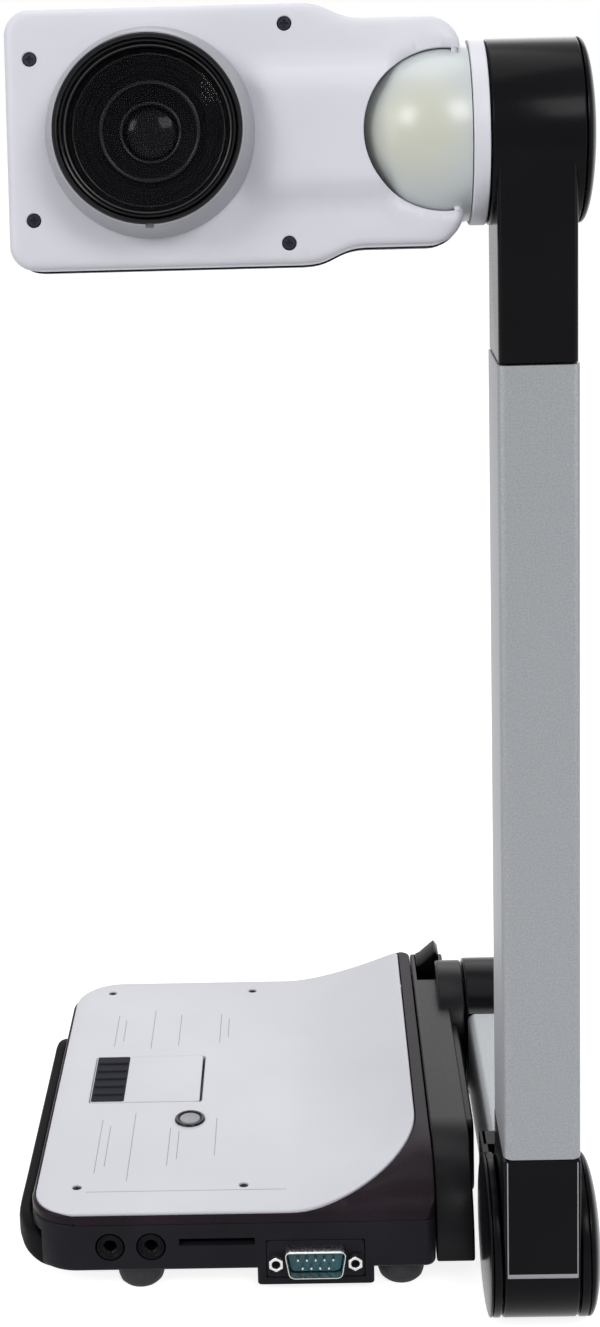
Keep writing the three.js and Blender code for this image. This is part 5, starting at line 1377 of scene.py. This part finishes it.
def build_stage(studio):
    """Floor, surround, softboxes and camera, shown without a film look."""
    build_floor(studio)
    build_surround(studio)
    for name, location, target, size, power in (
        ("key_left", (-0.95, -0.95, 0.95), (0, 0, 0.25), (0.45, 0.45), studio.key),
        ("key_right", (0.45, -1.05, 1.0), (0, 0, 0.25), (0.5, 0.45), studio.key),
        ("overhead", (-0.05, 0.1, 1.3), (0, 0.05, 0.1), (0.8, 0.8), studio.top),
        ("left_box", (-1.0, -0.4, 0.5), (0, 0, 0.2), (0.4, 0.9), studio.side),
        ("right_box", (1.0, -0.4, 0.5), (0.05, 0, 0.2), (0.4, 0.9), studio.side),
        ("rear_fill", (0.2, 1.3, 0.9), (0, 0, 0.2), (1.0, 0.8), studio.rear),
    ):
        softbox(name, location, target, size, power)
    build_camera(studio)
    bpy.context.scene.view_settings.view_transform = "Standard"


class DOCCAM_OT_finishes(bpy.types.Operator):
    """Makes every finish"""
    bl_idname = "doccam.finishes"
    bl_label = "Finishes"

    def execute(self, context):
        make_materials(context.scene.doccam_colours)
        return {"FINISHED"}


class DOCCAM_OT_base(bpy.types.Operator):
    """Builds the case, rim, deck, bar and feet"""
    bl_idname = "doccam.base"
    bl_label = "Base"

    def execute(self, context):
        shape = context.scene.doccam_shape
        build_case(shape)
        build_rim()
        build_deck(shape)
        build_bar(shape)
        build_feet()
        return {"FINISHED"}


class DOCCAM_OT_deck_fittings(bpy.types.Operator):
    """Builds the lid, button, deck screws and rules"""
    bl_idname = "doccam.deck_fittings"
    bl_label = "Deck Fittings"

    def execute(self, context):
        build_deck_fittings()
        return {"FINISHED"}


class DOCCAM_OT_ports(bpy.types.Operator):
    """Builds the jacks and connectors"""
    bl_idname = "doccam.ports"
    bl_label = "Ports"

    def execute(self, context):
        build_ports()
        return {"FINISHED"}


class DOCCAM_OT_handle(bpy.types.Operator):
    """Builds the carrying handle"""
    bl_idname = "doccam.handle"
    bl_label = "Handle"

    def execute(self, context):
        build_handle()
        return {"FINISHED"}


class DOCCAM_OT_lower_arm(bpy.types.Operator):
    """Builds the folded arm"""
    bl_idname = "doccam.lower_arm"
    bl_label = "Lower Arm"

    def execute(self, context):
        build_lower_arm(context.scene.doccam_shape)
        return {"FINISHED"}


class DOCCAM_OT_upper_arm(bpy.types.Operator):
    """Builds the upright arm"""
    bl_idname = "doccam.upper_arm"
    bl_label = "Upper Arm"

    def execute(self, context):
        build_upper_arm(context.scene.doccam_shape)
        return {"FINISHED"}


class DOCCAM_OT_head(bpy.types.Operator):
    """Builds the covers, screws and collar of the head"""
    bl_idname = "doccam.head"
    bl_label = "Head"

    def execute(self, context):
        build_head(context.scene.doccam_shape)
        return {"FINISHED"}


class DOCCAM_OT_lens(bpy.types.Operator):
    """Builds the lens"""
    bl_idname = "doccam.lens"
    bl_label = "Lens"

    def execute(self, context):
        build_lens()
        return {"FINISHED"}


class DOCCAM_OT_lamp(bpy.types.Operator):
    """Builds the diffuser dome"""
    bl_idname = "doccam.lamp"
    bl_label = "Lamp"

    def execute(self, context):
        build_lamp()
        return {"FINISHED"}


class DOCCAM_OT_stage(bpy.types.Operator):
    """Builds the studio"""
    bl_idname = "doccam.stage"
    bl_label = "Stage"

    def execute(self, context):
        build_stage(context.scene.doccam_studio)
        return {"FINISHED"}


OPERATORS = (
    DOCCAM_OT_finishes, DOCCAM_OT_base, DOCCAM_OT_deck_fittings, DOCCAM_OT_ports, DOCCAM_OT_handle,
    DOCCAM_OT_lower_arm, DOCCAM_OT_upper_arm, DOCCAM_OT_head, DOCCAM_OT_lens, DOCCAM_OT_lamp, DOCCAM_OT_stage,
)


class DOCCAM_PT_panel(bpy.types.Panel):
    """Build steps and settings of the document camera."""
    bl_label = "Document Camera"
    bl_idname = "DOCCAM_PT_panel"
    bl_space_type = "VIEW_3D"
    bl_region_type = "UI"
    bl_category = "Document Camera"

    def draw(self, context):
        scene = context.scene
        for step in OPERATORS:
            self.layout.operator(step.bl_idname)
        for group in (scene.doccam_shape, scene.doccam_colours, scene.doccam_studio):
            box = self.layout.box()
            for name in group.__annotations__:
                box.prop(group, name)


GROUPS = {"doccam_shape": DoccamShape, "doccam_colours": DoccamColours, "doccam_studio": DoccamStudio}


def register():
    """Registers the settings, the operators and the panel."""
    for name, group in GROUPS.items():
        bpy.utils.register_class(group)
        setattr(bpy.types.Scene, name, bpy.props.PointerProperty(type=group))
    for step in OPERATORS:
        bpy.utils.register_class(step)
    bpy.utils.register_class(DOCCAM_PT_panel)


def unregister():
    """Takes away what register added."""
    bpy.utils.unregister_class(DOCCAM_PT_panel)
    for step in reversed(OPERATORS):
        bpy.utils.unregister_class(step)
    for name, group in GROUPS.items():
        delattr(bpy.types.Scene, name)
        bpy.utils.unregister_class(group)


def main():
    """Builds every piece and the stage."""
    register()
    bpy.ops.doccam.finishes()
    bpy.ops.doccam.base()
    bpy.ops.doccam.deck_fittings()
    bpy.ops.doccam.ports()
    bpy.ops.doccam.handle()
    bpy.ops.doccam.lower_arm()
    bpy.ops.doccam.upper_arm()
    bpy.ops.doccam.head()
    bpy.ops.doccam.lens()
    bpy.ops.doccam.lamp()
    bpy.ops.doccam.stage()


if __name__ == "__main__":
    main()
